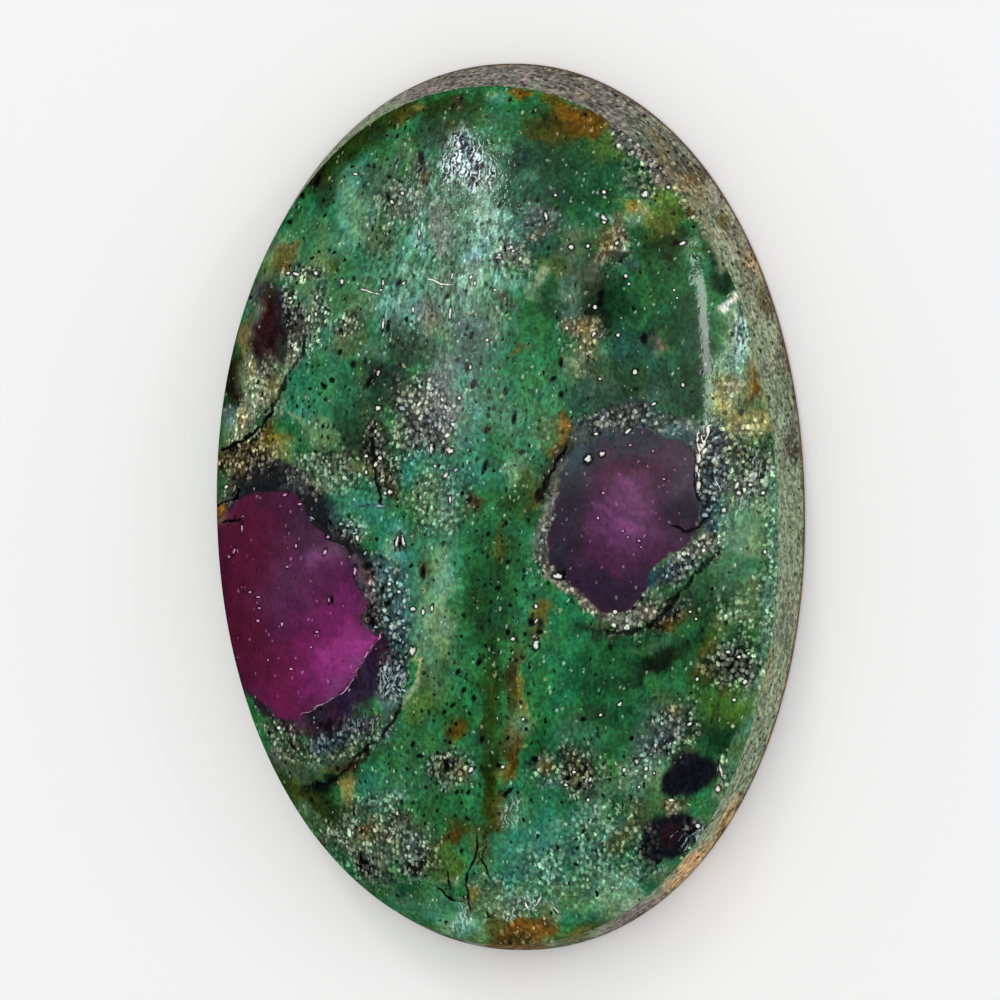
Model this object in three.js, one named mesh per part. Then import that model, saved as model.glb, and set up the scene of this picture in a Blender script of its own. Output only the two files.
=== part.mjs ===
// Ruby in fuchsite: one loose oval cabochon, cut and polished from green rock with ruby grains in it.
// Units are millimetres. +Z is up through the dome, +Y runs along the long axis, and the origin is
// the centre of the flat ground back that the stone lies on.
import * as THREE from "three";

// Driving dimensions of the stone.
const LENGTH = 30;
const WIDTH = 20.5;
const THICKNESS = 5.6;
const WALL_HEIGHT = 1.9;
const BACK_BEVEL = 0.12;

// The outline is a slightly full oval: a power of 2 would be a plain ellipse.
const OUTLINE_POWER = 2.08;
const OUTLINE_LOBES = 3;
const OUTLINE_LOBE_DEPTH = 0.0036;

// The ground side wall leans in towards the girdle, unevenly, as a hand-held stone comes out:
// most at the +Y end and least at the -Y end.
const LEAN_MEAN = 0.48;
const LEAN_ALONG_LENGTH = 0.3;
const LEAN_ALONG_WIDTH = 0.05;
const LEAN_AT_SIDES = -0.04;
const LEAN_AT_DIAGONALS = 0.1;

// The dome is low and flat on top, with a steeper shoulder. Polishing left its face slightly wavy.
const CROWN_POWER = 2.3;
const SHOULDER_POWER = 0.78;
const WAVE_DEPTH = 0.04;
const WAVE_LENGTH_X = 9;
const WAVE_LENGTH_Y = 13;
// Waves, cracks and pits all fade out towards the girdle, so that its edge stays clean.
const FADE_POWER = 8;

// Open cracks in the polished face, as points [x, y] along each.
const CRACK_DEPTH = 0.1;
const CRACK_HALF_WIDTH = 0.3;
const CRACKS = [
  {
    place: "round the lower side of the right ruby",
    points: [[8.1, -1.7], [7.3, -2.5], [6.6, -3.2], [6.1, -4.0], [5.4, -4.3], [4.4, -4.3]],
  },
  {
    place: "below the left ruby",
    points: [[-6.8, -9.3], [-5.5, -9.0], [-4.4, -8.3], [-3.2, -7.2]],
  },
  {
    place: "above the left ruby, up to the dark patch",
    points: [[-9.5, 2.0], [-8.2, 2.3], [-7.4, 2.8], [-7.1, 3.8], [-6.3, 4.8], [-6.0, 5.4]],
  },
];

// Shallow pits where soft grains pulled out of the face.
const PITS = [
  { x: 8.4, y: -5.5, radius: 0.5, depth: 0.12 },
  { x: 9.1, y: 0.4, radius: 0.4, depth: 0.1 },
  { x: 9.2, y: 1.5, radius: 0.35, depth: 0.08 },
  { x: 3.9, y: 0.9, radius: 0.4, depth: 0.08 },
  { x: 1.5, y: -13.0, radius: 0.6, depth: 0.08 },
  { x: -6.6, y: -10.9, radius: 0.4, depth: 0.08 },
];

// Steps of the faceted surface.
const STEPS_ROUND = 104;
const DOME_ROWS = 24;
const ROW_CROWDING = 1.25;

const FUCHSITE_GREEN = 0x3d7258;

// Height of the dome over the back at a share of the way out from the centre to the girdle.
function domeHeight(reach) {
  const rise = THICKNESS - WALL_HEIGHT;
  return WALL_HEIGHT + rise * (1 - reach ** CROWN_POWER) ** SHOULDER_POWER;
}

// Point of the back's outline at an angle, and the direction that the outline faces there.
function outlineAt(angle) {
  const across = Math.cos(angle);
  const along = Math.sin(angle);
  const swell = 1 - OUTLINE_LOBE_DEPTH * Math.cos(OUTLINE_LOBES * angle);
  const bend = 2 / OUTLINE_POWER;
  const halfWidth = WIDTH / 2;
  const halfLength = LENGTH / 2;
  const centred = OUTLINE_LOBE_DEPTH * halfWidth;
  const point = new THREE.Vector2(
    centred + swell * halfWidth * Math.sign(across) * Math.abs(across) ** bend,
    swell * halfLength * Math.sign(along) * Math.abs(along) ** bend,
  );
  const steep = OUTLINE_POWER - 1;
  const facing = new THREE.Vector2(
    (Math.sign(point.x) * Math.abs(point.x / halfWidth) ** steep) / halfWidth,
    (Math.sign(point.y) * Math.abs(point.y / halfLength) ** steep) / halfLength,
  );
  return { point, facing: facing.normalize() };
}

// How far the girdle lies inside the back's outline where the wall faces a direction.
function leanTowards(facing) {
  const turn = facing.angle();
  return (
    LEAN_MEAN +
    LEAN_ALONG_LENGTH * Math.sin(turn) +
    LEAN_ALONG_WIDTH * Math.cos(turn) +
    LEAN_AT_SIDES * Math.cos(2 * turn) +
    LEAN_AT_DIAGONALS * Math.sin(2 * turn)
  );
}

// Point of the side wall at an angle and a height, bevel included.
function wallPoint(angle, height) {
  const { point, facing } = outlineAt(angle);
  const bevelInset = Math.max(BACK_BEVEL - height, 0);
  const wallShare = Math.max(height - BACK_BEVEL, 0) / (WALL_HEIGHT - BACK_BEVEL);
  const inset = bevelInset + wallShare * leanTowards(facing);
  return point.addScaledVector(facing, -inset);
}

// Distance from a point to a crack that runs through a list of points.
function distanceToCrack(spot, crack) {
  const nearest = new THREE.Vector3();
  let least = Infinity;
  for (let i = 1; i < crack.points.length; i += 1) {
    const start = new THREE.Vector3(...crack.points[i - 1], 0);
    const end = new THREE.Vector3(...crack.points[i], 0);
    new THREE.Line3(start, end).closestPointToPoint(spot, true, nearest);
    least = Math.min(least, nearest.distanceTo(spot));
  }
  return least;
}

// How far cracks, pits and polishing waves lower the dome at a point of its plan.
function loweredBy(x, y, reach) {
  const spot = new THREE.Vector3(x, y, 0);
  const hollow = (distance, width) => Math.exp(-((distance / width) ** 2));
  const inCracks = CRACKS.map(
    (crack) => CRACK_DEPTH * hollow(distanceToCrack(spot, crack), CRACK_HALF_WIDTH),
  );
  const inPits = PITS.map(
    (pit) => pit.depth * hollow(Math.hypot(x - pit.x, y - pit.y), pit.radius),
  );
  const deepest = Math.max(...inCracks, ...inPits);
  const waves =
    Math.sin((2 * Math.PI * x) / WAVE_LENGTH_X) * Math.cos((2 * Math.PI * y) / WAVE_LENGTH_Y);
  const fade = 1 - reach ** FADE_POWER;
  return fade * (deepest + WAVE_DEPTH * waves);
}

// The stone's section, with its widths as shares of the way out to the wall.
function sectionPoints() {
  const points = [
    new THREE.Vector2(0, 0),
    new THREE.Vector2(1, 0),
    new THREE.Vector2(1, BACK_BEVEL),
    new THREE.Vector2(1, WALL_HEIGHT),
  ];
  for (let row = 1; row <= DOME_ROWS; row += 1) {
    const reach = 1 - (row / DOME_ROWS) ** ROW_CROWDING;
    points.push(new THREE.Vector2(reach, domeHeight(reach)));
  }
  return points;
}

// The turned section, with each point moved out to the oval and lowered into cracks and pits.
function cabochonGeometry() {
  const geometry = new THREE.LatheGeometry(sectionPoints(), STEPS_ROUND).rotateX(Math.PI / 2);
  const positions = geometry.getAttribute("position");
  for (let i = 0; i < positions.count; i += 1) {
    const turnedX = positions.getX(i);
    const turnedY = positions.getY(i);
    const height = positions.getZ(i);
    const reach = Math.hypot(turnedX, turnedY);
    const angle = Math.atan2(turnedY, turnedX);
    const rim = wallPoint(angle, Math.min(height, WALL_HEIGHT)).multiplyScalar(reach);
    const onDome = height > WALL_HEIGHT;
    const lowered = onDome ? loweredBy(rim.x, rim.y, reach) : 0;
    positions.setXYZ(i, rim.x, rim.y, height - lowered);
  }
  geometry.computeVertexNormals();
  return geometry;
}

function cabochon() {
  const polished = new THREE.MeshStandardMaterial({
    color: FUCHSITE_GREEN,
    roughness: 0.25,
    metalness: 0,
  });
  const mesh = new THREE.Mesh(cabochonGeometry(), polished);
  mesh.name = "cabochon";
  return mesh;
}

const group = new THREE.Group();
group.add(cabochon());

export default group;
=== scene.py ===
"""Ruby in fuchsite: one polished oval cabochon on a pale floor, seen from above and a little to its right.

The stone is one dense mesh on the same dimensions as the CAD solid. Its rock pattern is painted:
spots of colour are placed by the pixel where the photograph shows them, and noise breaks up their edges.
"""

import math

import bpy
import numpy as np
from mathutils import Matrix, Vector


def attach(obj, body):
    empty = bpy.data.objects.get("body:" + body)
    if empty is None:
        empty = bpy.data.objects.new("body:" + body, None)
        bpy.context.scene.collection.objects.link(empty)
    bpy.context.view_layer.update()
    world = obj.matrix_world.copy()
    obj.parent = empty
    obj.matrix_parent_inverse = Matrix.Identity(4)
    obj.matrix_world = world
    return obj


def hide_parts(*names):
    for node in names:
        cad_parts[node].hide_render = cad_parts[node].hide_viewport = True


MM = 0.001

# Driving dimensions of the stone in millimetres, as in the CAD solid.
LENGTH = 30.0
WIDTH = 20.5
THICKNESS = 5.6
WALL_HEIGHT = 1.9
BACK_BEVEL = 0.12
OUTLINE_POWER = 2.08
OUTLINE_LOBES = 3
OUTLINE_LOBE_DEPTH = 0.0036
LEAN_MEAN = 0.48
LEAN_ALONG_LENGTH = 0.30
LEAN_ALONG_WIDTH = 0.05
LEAN_AT_SIDES = -0.04
LEAN_AT_DIAGONALS = 0.10
CROWN_POWER = 2.3
SHOULDER_POWER = 0.78
WAVE_DEPTH = 0.04
WAVE_LENGTH_X = 9.0
WAVE_LENGTH_Y = 13.0
FADE_POWER = 8
CRACK_DEPTH = 0.09
# How far outside and inside a crack's painted edge its hollow starts and is deepest.
CRACK_WALL = (-0.12, 0.05)
# Stands for a place nowhere near a crack.
FAR_OUTSIDE = -9.0
# Shallow pits where soft grains pulled out of the face: x, y, radius and depth.
PITS = (
    (8.4, -5.5, 0.5, 0.12), (9.1, 0.4, 0.4, 0.1), (9.2, 1.5, 0.35, 0.08), (3.9, 0.9, 0.4, 0.08),
    (1.5, -13.0, 0.6, 0.08), (-6.6, -10.9, 0.4, 0.08),
)

# Fineness of the visual mesh.
STEPS_ROUND = 560
DOME_ROWS = 124
DOME_CROWDING = 1.15
WALL_ROWS = 10
BACK_ROWS = 22
EDGE_ROUNDING = 0.05

# The camera of the photograph: its tilt from straight above, and where it puts the stone.
PICTURE_SIZE = 1000
PIXELS_PER_MM = 29.7
CAMERA_DISTANCE = 450.0
CAMERA_TILT = 0.27
CAMERA_TURN = -0.039
CAMERA_ROLL = 0.0267
TARGET_HEIGHT = 2.5
TARGET_PIXEL = (492.3, 506.7)
SENSOR_WIDTH = 36.0
CLIP_START = 0.01
CLIP_END = 10.0
# Rounds that find the point of the dome under a pixel, and the step in millimetres that finds its slope.
HEIGHT_ROUNDS = 30
SLOPE_STEP = 0.05

# How far round a small mark or a fine line, in pixels, the mesh points still know of it.
MARK_MARGIN = 6.5
# Small marks closer together than this, in pixels, go into different layers.
MARK_SPACING = 24
MARK_LAYERS = 3

# Random fields repeat after this many waves, and what is moved by one is moved half as far by a finer one.
LATTICE_SIZE = 256
FINER_BY = 2.3
# Noise that makes painted edges uneven: the length and the depth of its waves, in pixels, and its seed.
BROAD_NOISE = (24, 5.0, 11)
CLOSE_NOISE = (9, 4.0, 31)
GRAIN_NOISE = (14, 2.0, 51)
RUBY_NOISE = (14, 3.0, 51)
SEAM_NOISE = (9, 2.0, 71)
CRACK_NOISE = (9, 3.0, 71)
# The bites in the edges of painted spots: how large in pixels, how deep in shares of a spot, and the seed.
FEATHER_SIZE = 8
FEATHER_DEPTH = 0.18
FEATHER_SEED = 91
# Where a spot of colour starts and ends fading, in shares of its size: in the rock, in haze or ruby, in a
# dark grain, and across a band.
FEATHERED_EDGE = (0.5, 1.25)
SOFT_EDGE = (0.0, 1.6)
GRAIN_EDGE = (0.85, 1.15)
BAND_EDGE = (0.6, 1.3)

# The rock's specks lean a little to the right of upright.
GRAIN_LEAN = math.radians(7)

# The floor's side in metres and its colour, and the strength of the light from all round.
FLOOR_SIDE = 3.0
FLOOR_WHITE = (0.97, 0.97, 0.97)
WORLD_STRENGTH = 0.8
# Soft panels: name, the two pixels between which the dome mirrors it, its width in millimetres, brightness.
LIGHT_DISTANCE = 500.0
PANELS = (
    ("lamp", (460, 141), (478, 192), 24.0, 20.0),
    ("tall_panel", (462, 150), (472, 440), 90.0, 1.5),
    ("upper_strip", (699, 272), (704, 335), 30.0, 10.0),
    ("lower_strip", (704, 335), (708, 425), 30.0, 8.0),
    ("side_panel", (740, 300), (745, 600), 120.0, 0.6),
)

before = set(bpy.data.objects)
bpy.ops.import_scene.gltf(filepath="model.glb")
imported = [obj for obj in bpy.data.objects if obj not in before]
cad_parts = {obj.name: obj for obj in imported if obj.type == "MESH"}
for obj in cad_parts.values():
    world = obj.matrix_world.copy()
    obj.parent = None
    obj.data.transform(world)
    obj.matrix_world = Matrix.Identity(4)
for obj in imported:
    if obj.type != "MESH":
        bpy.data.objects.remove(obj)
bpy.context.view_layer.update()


# ---------------------------------------------------------------- the stone's form, in millimetres


def signed_power(value, power):
    """A power that keeps the sign."""
    return np.sign(value) * np.abs(value) ** power


def outline_at(angle):
    """Point of the back's outline at each angle, and the direction that it faces."""
    swell = 1 - OUTLINE_LOBE_DEPTH * np.cos(OUTLINE_LOBES * angle)
    bend = 2 / OUTLINE_POWER
    centred = OUTLINE_LOBE_DEPTH * WIDTH / 2
    x = centred + swell * WIDTH / 2 * signed_power(np.cos(angle), bend)
    y = swell * LENGTH / 2 * signed_power(np.sin(angle), bend)
    facing_x = signed_power(x / (WIDTH / 2), OUTLINE_POWER - 1) / (WIDTH / 2)
    facing_y = signed_power(y / (LENGTH / 2), OUTLINE_POWER - 1) / (LENGTH / 2)
    return x, y, np.arctan2(facing_y, facing_x)


def wall_point(angle, height):
    """Point of the side wall at each angle, at one height."""
    x, y, turn = outline_at(angle)
    lean = (
        LEAN_MEAN
        + LEAN_ALONG_LENGTH * np.sin(turn)
        + LEAN_ALONG_WIDTH * np.cos(turn)
        + LEAN_AT_SIDES * np.cos(2 * turn)
        + LEAN_AT_DIAGONALS * np.sin(2 * turn)
    )
    share = max(height - BACK_BEVEL, 0) / (WALL_HEIGHT - BACK_BEVEL)
    inset = max(BACK_BEVEL - height, 0) + share * lean
    return x - inset * np.cos(turn), y - inset * np.sin(turn)


def dome_height(reach):
    """Height of the smooth dome, from its reach."""
    rise = THICKNESS - WALL_HEIGHT
    return WALL_HEIGHT + rise * (1 - np.minimum(reach, 1) ** CROWN_POWER) ** SHOULDER_POWER


def waves_at(x, y):
    """The polishing waves at a plan point, in shares of their depth."""
    return np.sin(2 * math.pi * x / WAVE_LENGTH_X) * np.cos(2 * math.pi * y / WAVE_LENGTH_Y)


GIRDLE_ANGLES = np.linspace(0, 2 * math.pi, 2 * STEPS_ROUND)
GIRDLE_X, GIRDLE_Y = wall_point(GIRDLE_ANGLES, WALL_HEIGHT)


def reach_at(x, y):
    """How far a plan point lies out towards the girdle: 0 at the centre, 1 on it."""
    turns = np.unwrap(np.arctan2(GIRDLE_Y, GIRDLE_X))
    radii = np.hypot(GIRDLE_X, GIRDLE_Y)
    return np.hypot(x, y) / np.interp(np.arctan2(y, x), turns, radii, period=2 * math.pi)


# ---------------------------------------------------------------- the photograph's camera


def camera_axes():
    """The camera's right, up and backward directions."""
    back = Vector(
        (
            math.sin(CAMERA_TILT) * math.cos(CAMERA_TURN),
            math.sin(CAMERA_TILT) * math.sin(CAMERA_TURN),
            math.cos(CAMERA_TILT),
        )
    )
    up_hint = Vector((math.sin(CAMERA_ROLL), math.cos(CAMERA_ROLL), 0))
    right = up_hint.cross(back).normalized()
    return right, back.cross(right), back


RIGHT, UP, BACK = camera_axes()
OFF_CENTRE_X = (PICTURE_SIZE / 2 - TARGET_PIXEL[0]) / PIXELS_PER_MM
OFF_CENTRE_Y = (TARGET_PIXEL[1] - PICTURE_SIZE / 2) / PIXELS_PER_MM
EYE = Vector((0, 0, TARGET_HEIGHT)) + OFF_CENTRE_X * RIGHT + OFF_CENTRE_Y * UP + CAMERA_DISTANCE * BACK


def picture_place(x, y, z):
    """Pixel of the photograph at which each point of the stone, in millimetres, lies."""
    offset = np.stack([x - EYE.x, y - EYE.y, z - EYE.z])
    depth = -(offset.T @ np.array(BACK))
    scale = PIXELS_PER_MM * CAMERA_DISTANCE / depth
    middle = PICTURE_SIZE / 2
    return middle + scale * (offset.T @ np.array(RIGHT)), middle - scale * (offset.T @ np.array(UP))


def dome_point(pixel_x, pixel_y):
    """Point of the dome that the photograph shows at a pixel, in millimetres."""
    middle = PICTURE_SIZE / 2
    ray = -BACK + (
        (pixel_x - middle) * RIGHT - (pixel_y - middle) * UP
    ) / (PIXELS_PER_MM * CAMERA_DISTANCE)
    height = TARGET_HEIGHT
    for _ in range(HEIGHT_ROUNDS):
        point = EYE + ray * ((height - EYE.z) / ray.z)
        height = (height + float(dome_height(reach_at(point.x, point.y)))) / 2
    return point


def make_camera():
    """The camera, a long way off with a long lens."""
    data = bpy.data.cameras.new("photo_camera")
    data.sensor_width = SENSOR_WIDTH
    data.lens = SENSOR_WIDTH * CAMERA_DISTANCE * PIXELS_PER_MM / PICTURE_SIZE
    data.clip_start = CLIP_START
    data.clip_end = CLIP_END
    camera = bpy.data.objects.new("photo_camera", data)
    camera.matrix_world = Matrix.Translation(EYE * MM) @ Matrix((RIGHT, UP, BACK)).transposed().to_4x4()
    bpy.context.scene.collection.objects.link(camera)
    bpy.context.scene.camera = camera


# ---------------------------------------------------------------- painting, in pixels of the photograph

# Named paints, as red, green and blue from 0 to 255.
PALETTE = {
    "green": (62, 122, 82), "bright_green": (56, 124, 88), "deep_green": (42, 94, 60),
    "emerald": (40, 102, 68), "leaf": (56, 112, 68), "lime": (112, 148, 80), "leaf_dark": (50, 88, 44),
    "bottle": (46, 82, 60), "forest": (46, 74, 50), "pine": (24, 60, 34), "black_green": (24, 46, 32),
    "vivid_dark_green": (24, 76, 46), "sea": (60, 130, 98), "sea_blue": (72, 134, 122),
    "sea_dark": (28, 82, 62), "teal": (64, 130, 102), "deep_teal": (44, 94, 80),
    "blue_teal": (82, 140, 126), "pale_teal": (120, 170, 150), "jade": (94, 150, 122),
    "pale_jade": (122, 162, 134), "frost": (150, 180, 182), "dull_green": (78, 118, 90),
    "sage": (104, 138, 108), "sage_grey": (98, 124, 94), "pale_sage": (136, 162, 132),
    "grey_green": (80, 106, 80), "slate_green": (82, 120, 108), "slate_deep": (58, 90, 80),
    "moss": (90, 122, 64), "moss_dark": (56, 80, 28), "dark_olive": (48, 68, 26), "olive": (84, 94, 46),
    "straw": (152, 150, 92), "mustard": (102, 90, 22), "gold": (186, 144, 64), "rust": (90, 76, 10),
    "orange": (126, 95, 12), "brown": (72, 58, 28), "umber": (44, 38, 26), "tan": (128, 122, 92),
    "cream": (176, 182, 150), "white": (214, 220, 212), "glint": (222, 240, 244), "grey": (118, 128, 120),
    "grain_grey": (128, 132, 122), "lavender": (122, 138, 146), "slate": (76, 98, 98),
    "navy_teal": (44, 76, 86), "dark_slate": (58, 68, 64), "charcoal": (44, 48, 52), "ink": (14, 17, 21),
    "ink_violet": (60, 38, 64), "dark_maroon": (62, 36, 42), "near_black": (30, 35, 44),
    "wine": (96, 26, 58), "berry": (116, 26, 84), "violet": (96, 42, 90), "plum": (94, 40, 82),
    "magenta": (124, 38, 108), "bright_magenta": (156, 66, 140), "violet_core": (140, 88, 142),
    "plum_grey": (88, 54, 78), "rosewood": (84, 44, 60), "dusk": (54, 42, 66), "slate_rim": (70, 80, 84),
    "ink_blue": (48, 50, 62), "pink_fleck": (200, 156, 194), "heather": (106, 70, 102),
    "mauve_core": (132, 84, 126), "dim_violet": (76, 54, 80), "ash_plum": (96, 76, 90), "ash": (84, 80, 88),
    "mauve_grey": (104, 90, 102), "rim_teal": (78, 118, 120), "wall_grey": (122, 122, 116),
    "wall_green": (136, 154, 128), "wall_sage": (154, 162, 138), "wall_dark": (88, 86, 70),
    # The brown at the end of this line is painted shade, for the bottom of the wall.
    "wall_tan": (198, 168, 122), "wall_mauve": (136, 126, 126), "foot_shade_brown": (112, 78, 46),
    "wall_rust": (148, 122, 76),
}

# Outlines of the two ruby grains.
LEFT_RUBY = (
    (200, 530), (220, 518), (236, 501), (262, 491), (290, 489), (303, 503), (312, 521), (326, 540),
    (345, 549), (353, 562), (352, 577), (363, 590), (369, 602), (362, 616), (363, 627), (371, 633),
    (380, 636), (372, 646), (366, 658), (357, 671), (344, 689), (316, 708), (301, 722), (276, 716),
    (255, 698), (236, 680), (200, 640),
)
RIGHT_RUBY = (
    (562, 468), (572, 452), (585, 442), (602, 437), (620, 432), (636, 426), (652, 432), (668, 439),
    (684, 440), (695, 450), (697, 472), (700, 502), (701, 520), (696, 532), (686, 543), (676, 552),
    (662, 561), (650, 571), (646, 588), (640, 601), (624, 613), (606, 614), (592, 603), (578, 591),
    (562, 578), (549, 562), (545, 541), (552, 520), (557, 495),
)

# Broad fields of colour on the polished face, painted one over another:
# x, y, half length, half width, turn in degrees (90 is upright), colour, strength.
FIELDS = (
    (330, 168, 80, 24, 50, "moss_dark", 0.95), (308, 205, 32, 20, 55, "bottle", 0.6),
    (288, 226, 30, 18, 62, "leaf", 0.8), (352, 158, 28, 18, 50, "green", 0.8),
    (365, 178, 24, 14, 80, "sea_blue", 0.7), (350, 215, 48, 18, 85, "jade", 0.85),
    (388, 152, 30, 22, 45, "dull_green", 0.7), (376, 190, 26, 22, 0, "dull_green", 0.8),
    (376, 240, 26, 20, 0, "dull_green", 0.7), (396, 245, 46, 14, 90, "leaf", 0.6),
    (413, 235, 62, 16, 90, "jade", 0.8), (434, 133, 16, 14, 0, "deep_teal", 0.8),
    (420, 172, 32, 12, 90, "grey_green", 0.7), (450, 235, 42, 16, 90, "sage_grey", 0.7),
    # The pale teal fields at x 470 to 490 on this line and the next are partly painted sheen, partly pale
    # rock.
    (488, 240, 60, 18, 92, "pale_teal", 0.6), (436, 292, 32, 24, 90, "pale_sage", 0.6),
    (470, 292, 32, 20, 90, "pale_teal", 0.5), (340, 285, 42, 34, 60, "dull_green", 0.6),
    (400, 290, 36, 28, 90, "jade", 0.6), (310, 310, 46, 24, 70, "sage_grey", 0.7),
    (330, 345, 32, 22, 60, "sage", 0.6), (400, 345, 36, 24, 0, "forest", 0.9),
    (385, 385, 26, 24, 0, "black_green", 0.9), (325, 385, 46, 30, 10, "bright_green", 0.9),
    (300, 408, 30, 18, 30, "sea", 0.8), (350, 425, 46, 22, 90, "forest", 0.9),
    (318, 432, 22, 18, 0, "sage", 0.7), (374, 440, 60, 14, 95, "umber", 0.5),
    (455, 310, 36, 24, 90, "slate_green", 0.6), (465, 345, 36, 30, 90, "slate_green", 0.7),
    (440, 410, 42, 30, 90, "lavender", 0.8), (492, 390, 56, 18, 90, "sea", 0.8),
    (470, 450, 42, 24, 90, "sea_blue", 0.6), (430, 470, 36, 22, 0, "sea_blue", 0.8),
    (512, 420, 60, 20, 90, "green", 0.8), (522, 380, 36, 26, 90, "bright_green", 0.6),
    (325, 470, 42, 20, 0, "sage", 0.8), (240, 455, 42, 18, 15, "mustard", 0.8),
    (500, 115, 24, 20, 0, "green", 0.8), (532, 142, 24, 18, 0, "leaf", 0.7),
    (540, 165, 36, 20, 0, "bottle", 0.9), (560, 190, 36, 20, 0, "slate_deep", 0.8),
    (602, 182, 36, 30, 60, "deep_green", 0.8), (535, 225, 30, 20, 0, "slate_green", 0.7),
    (540, 250, 24, 14, 0, "deep_teal", 0.6), (575, 235, 26, 24, 90, "dull_green", 0.6),
    (560, 270, 32, 18, -10, "dull_green", 0.7), (645, 214, 60, 16, -35, "moss", 0.8),
    (610, 240, 26, 18, 75, "tan", 0.8), (665, 246, 36, 28, 20, "moss_dark", 0.9),
    (642, 285, 36, 25, 0, "leaf", 0.8), (680, 300, 56, 25, 90, "leaf", 0.7),
    (600, 300, 36, 20, 95, "pine", 0.9), (625, 306, 26, 16, 0, "vivid_dark_green", 0.8),
    (545, 302, 36, 22, 90, "leaf", 0.8), (575, 292, 30, 12, 90, "dull_green", 0.7),
    (580, 326, 22, 15, 0, "tan", 0.8), (592, 350, 22, 18, 0, "sage_grey", 0.8),
    (542, 345, 32, 28, 90, "green", 0.8), (625, 345, 26, 18, 90, "sea_dark", 0.9),
    (650, 345, 22, 15, 90, "pine", 0.8), (600, 395, 58, 20, 0, "slate_deep", 0.85),
    (692, 370, 52, 22, 90, "bottle", 0.8), (650, 385, 32, 20, 0, "forest", 0.7),
    # The pale jade field at the end of this line is partly painted sheen on the steep right shoulder, partly
    # pale rock.
    (720, 265, 42, 12, -72, "leaf_dark", 0.8), (735, 330, 52, 20, 85, "pale_jade", 0.8),
    (728, 400, 36, 18, 90, "straw", 0.7), (724, 440, 20, 18, 0, "sage_grey", 0.7),
    (488, 540, 60, 20, 90, "green", 0.8), (490, 610, 90, 14, 90, "leaf_dark", 0.7),
    (485, 605, 62, 22, 90, "deep_green", 0.7), (443, 565, 75, 22, 90, "jade", 0.8),
    (427, 622, 52, 20, 90, "pale_jade", 0.8), (426, 570, 24, 14, 90, "dull_green", 0.6),
    (396, 560, 42, 16, 80, "sea_blue", 0.9), (376, 510, 46, 22, -45, "teal", 0.9),
    (400, 622, 52, 14, 90, "slate_green", 0.8), (532, 562, 50, 20, 90, "sea", 0.6),
    (566, 622, 38, 26, 70, "bright_green", 0.9), (600, 672, 62, 32, 20, "emerald", 0.9),
    (756, 520, 46, 30, 90, "pale_jade", 0.8), (746, 562, 42, 20, 60, "green", 0.8),
    (756, 612, 46, 24, 70, "sage", 0.7), (702, 602, 46, 26, 45, "forest", 0.8),
    (735, 642, 36, 20, 0, "leaf_dark", 0.6), (440, 662, 52, 25, 90, "dull_green", 0.8),
    (426, 702, 32, 18, 75, "moss", 0.7), (455, 705, 46, 20, 90, "leaf", 0.8),
    (490, 690, 62, 10, 90, "leaf_dark", 0.8), (512, 680, 44, 10, 90, "olive", 0.6),
    (490, 765, 100, 9, 89, "moss_dark", 0.9), (420, 762, 42, 36, 90, "leaf", 0.8),
    (390, 792, 36, 24, 0, "jade", 0.7), (430, 802, 42, 22, 90, "leaf", 0.8),
    (300, 785, 48, 20, -40, "dark_olive", 0.9), (326, 760, 42, 14, 15, "grey_green", 0.8),
    (332, 822, 42, 22, -40, "forest", 0.9), (385, 836, 46, 24, 0, "sage_grey", 0.8),
    (420, 852, 26, 24, 90, "slate_green", 0.7), (440, 862, 32, 24, 90, "moss", 0.8),
    (400, 896, 36, 20, -35, "emerald", 0.9), (440, 906, 26, 20, 0, "jade", 0.8),
    (466, 926, 26, 16, 0, "pale_jade", 0.8), (490, 890, 32, 18, 90, "sage_grey", 0.6),
    (545, 692, 62, 25, 90, "green", 0.8), (545, 742, 42, 25, 90, "emerald", 0.8),
    (602, 732, 52, 30, 20, "deep_green", 0.8), (545, 842, 72, 46, 90, "sea", 0.9),
    (565, 792, 36, 18, 0, "sea", 0.8), (596, 802, 36, 20, 80, "sage", 0.8),
    (602, 852, 42, 25, 80, "jade", 0.8), (620, 892, 32, 20, 0, "pale_teal", 0.9),
    (652, 877, 22, 18, 0, "leaf", 0.8), (572, 892, 36, 20, 0, "moss", 0.6),
    (600, 925, 46, 14, 20, "moss_dark", 0.9), (650, 742, 52, 22, 60, "slate_green", 0.8),
    (646, 772, 32, 18, 0, "pale_jade", 0.8), (640, 812, 36, 22, 90, "sage_grey", 0.8),
    (702, 702, 52, 26, 60, "leaf_dark", 0.8), (725, 742, 36, 20, 90, "vivid_dark_green", 0.9),
    (650, 662, 62, 14, 25, "pine", 0.8), (730, 702, 26, 24, 0, "moss", 0.7),
    (715, 800, 26, 10, 75, "sage", 0.6),
)

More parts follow.
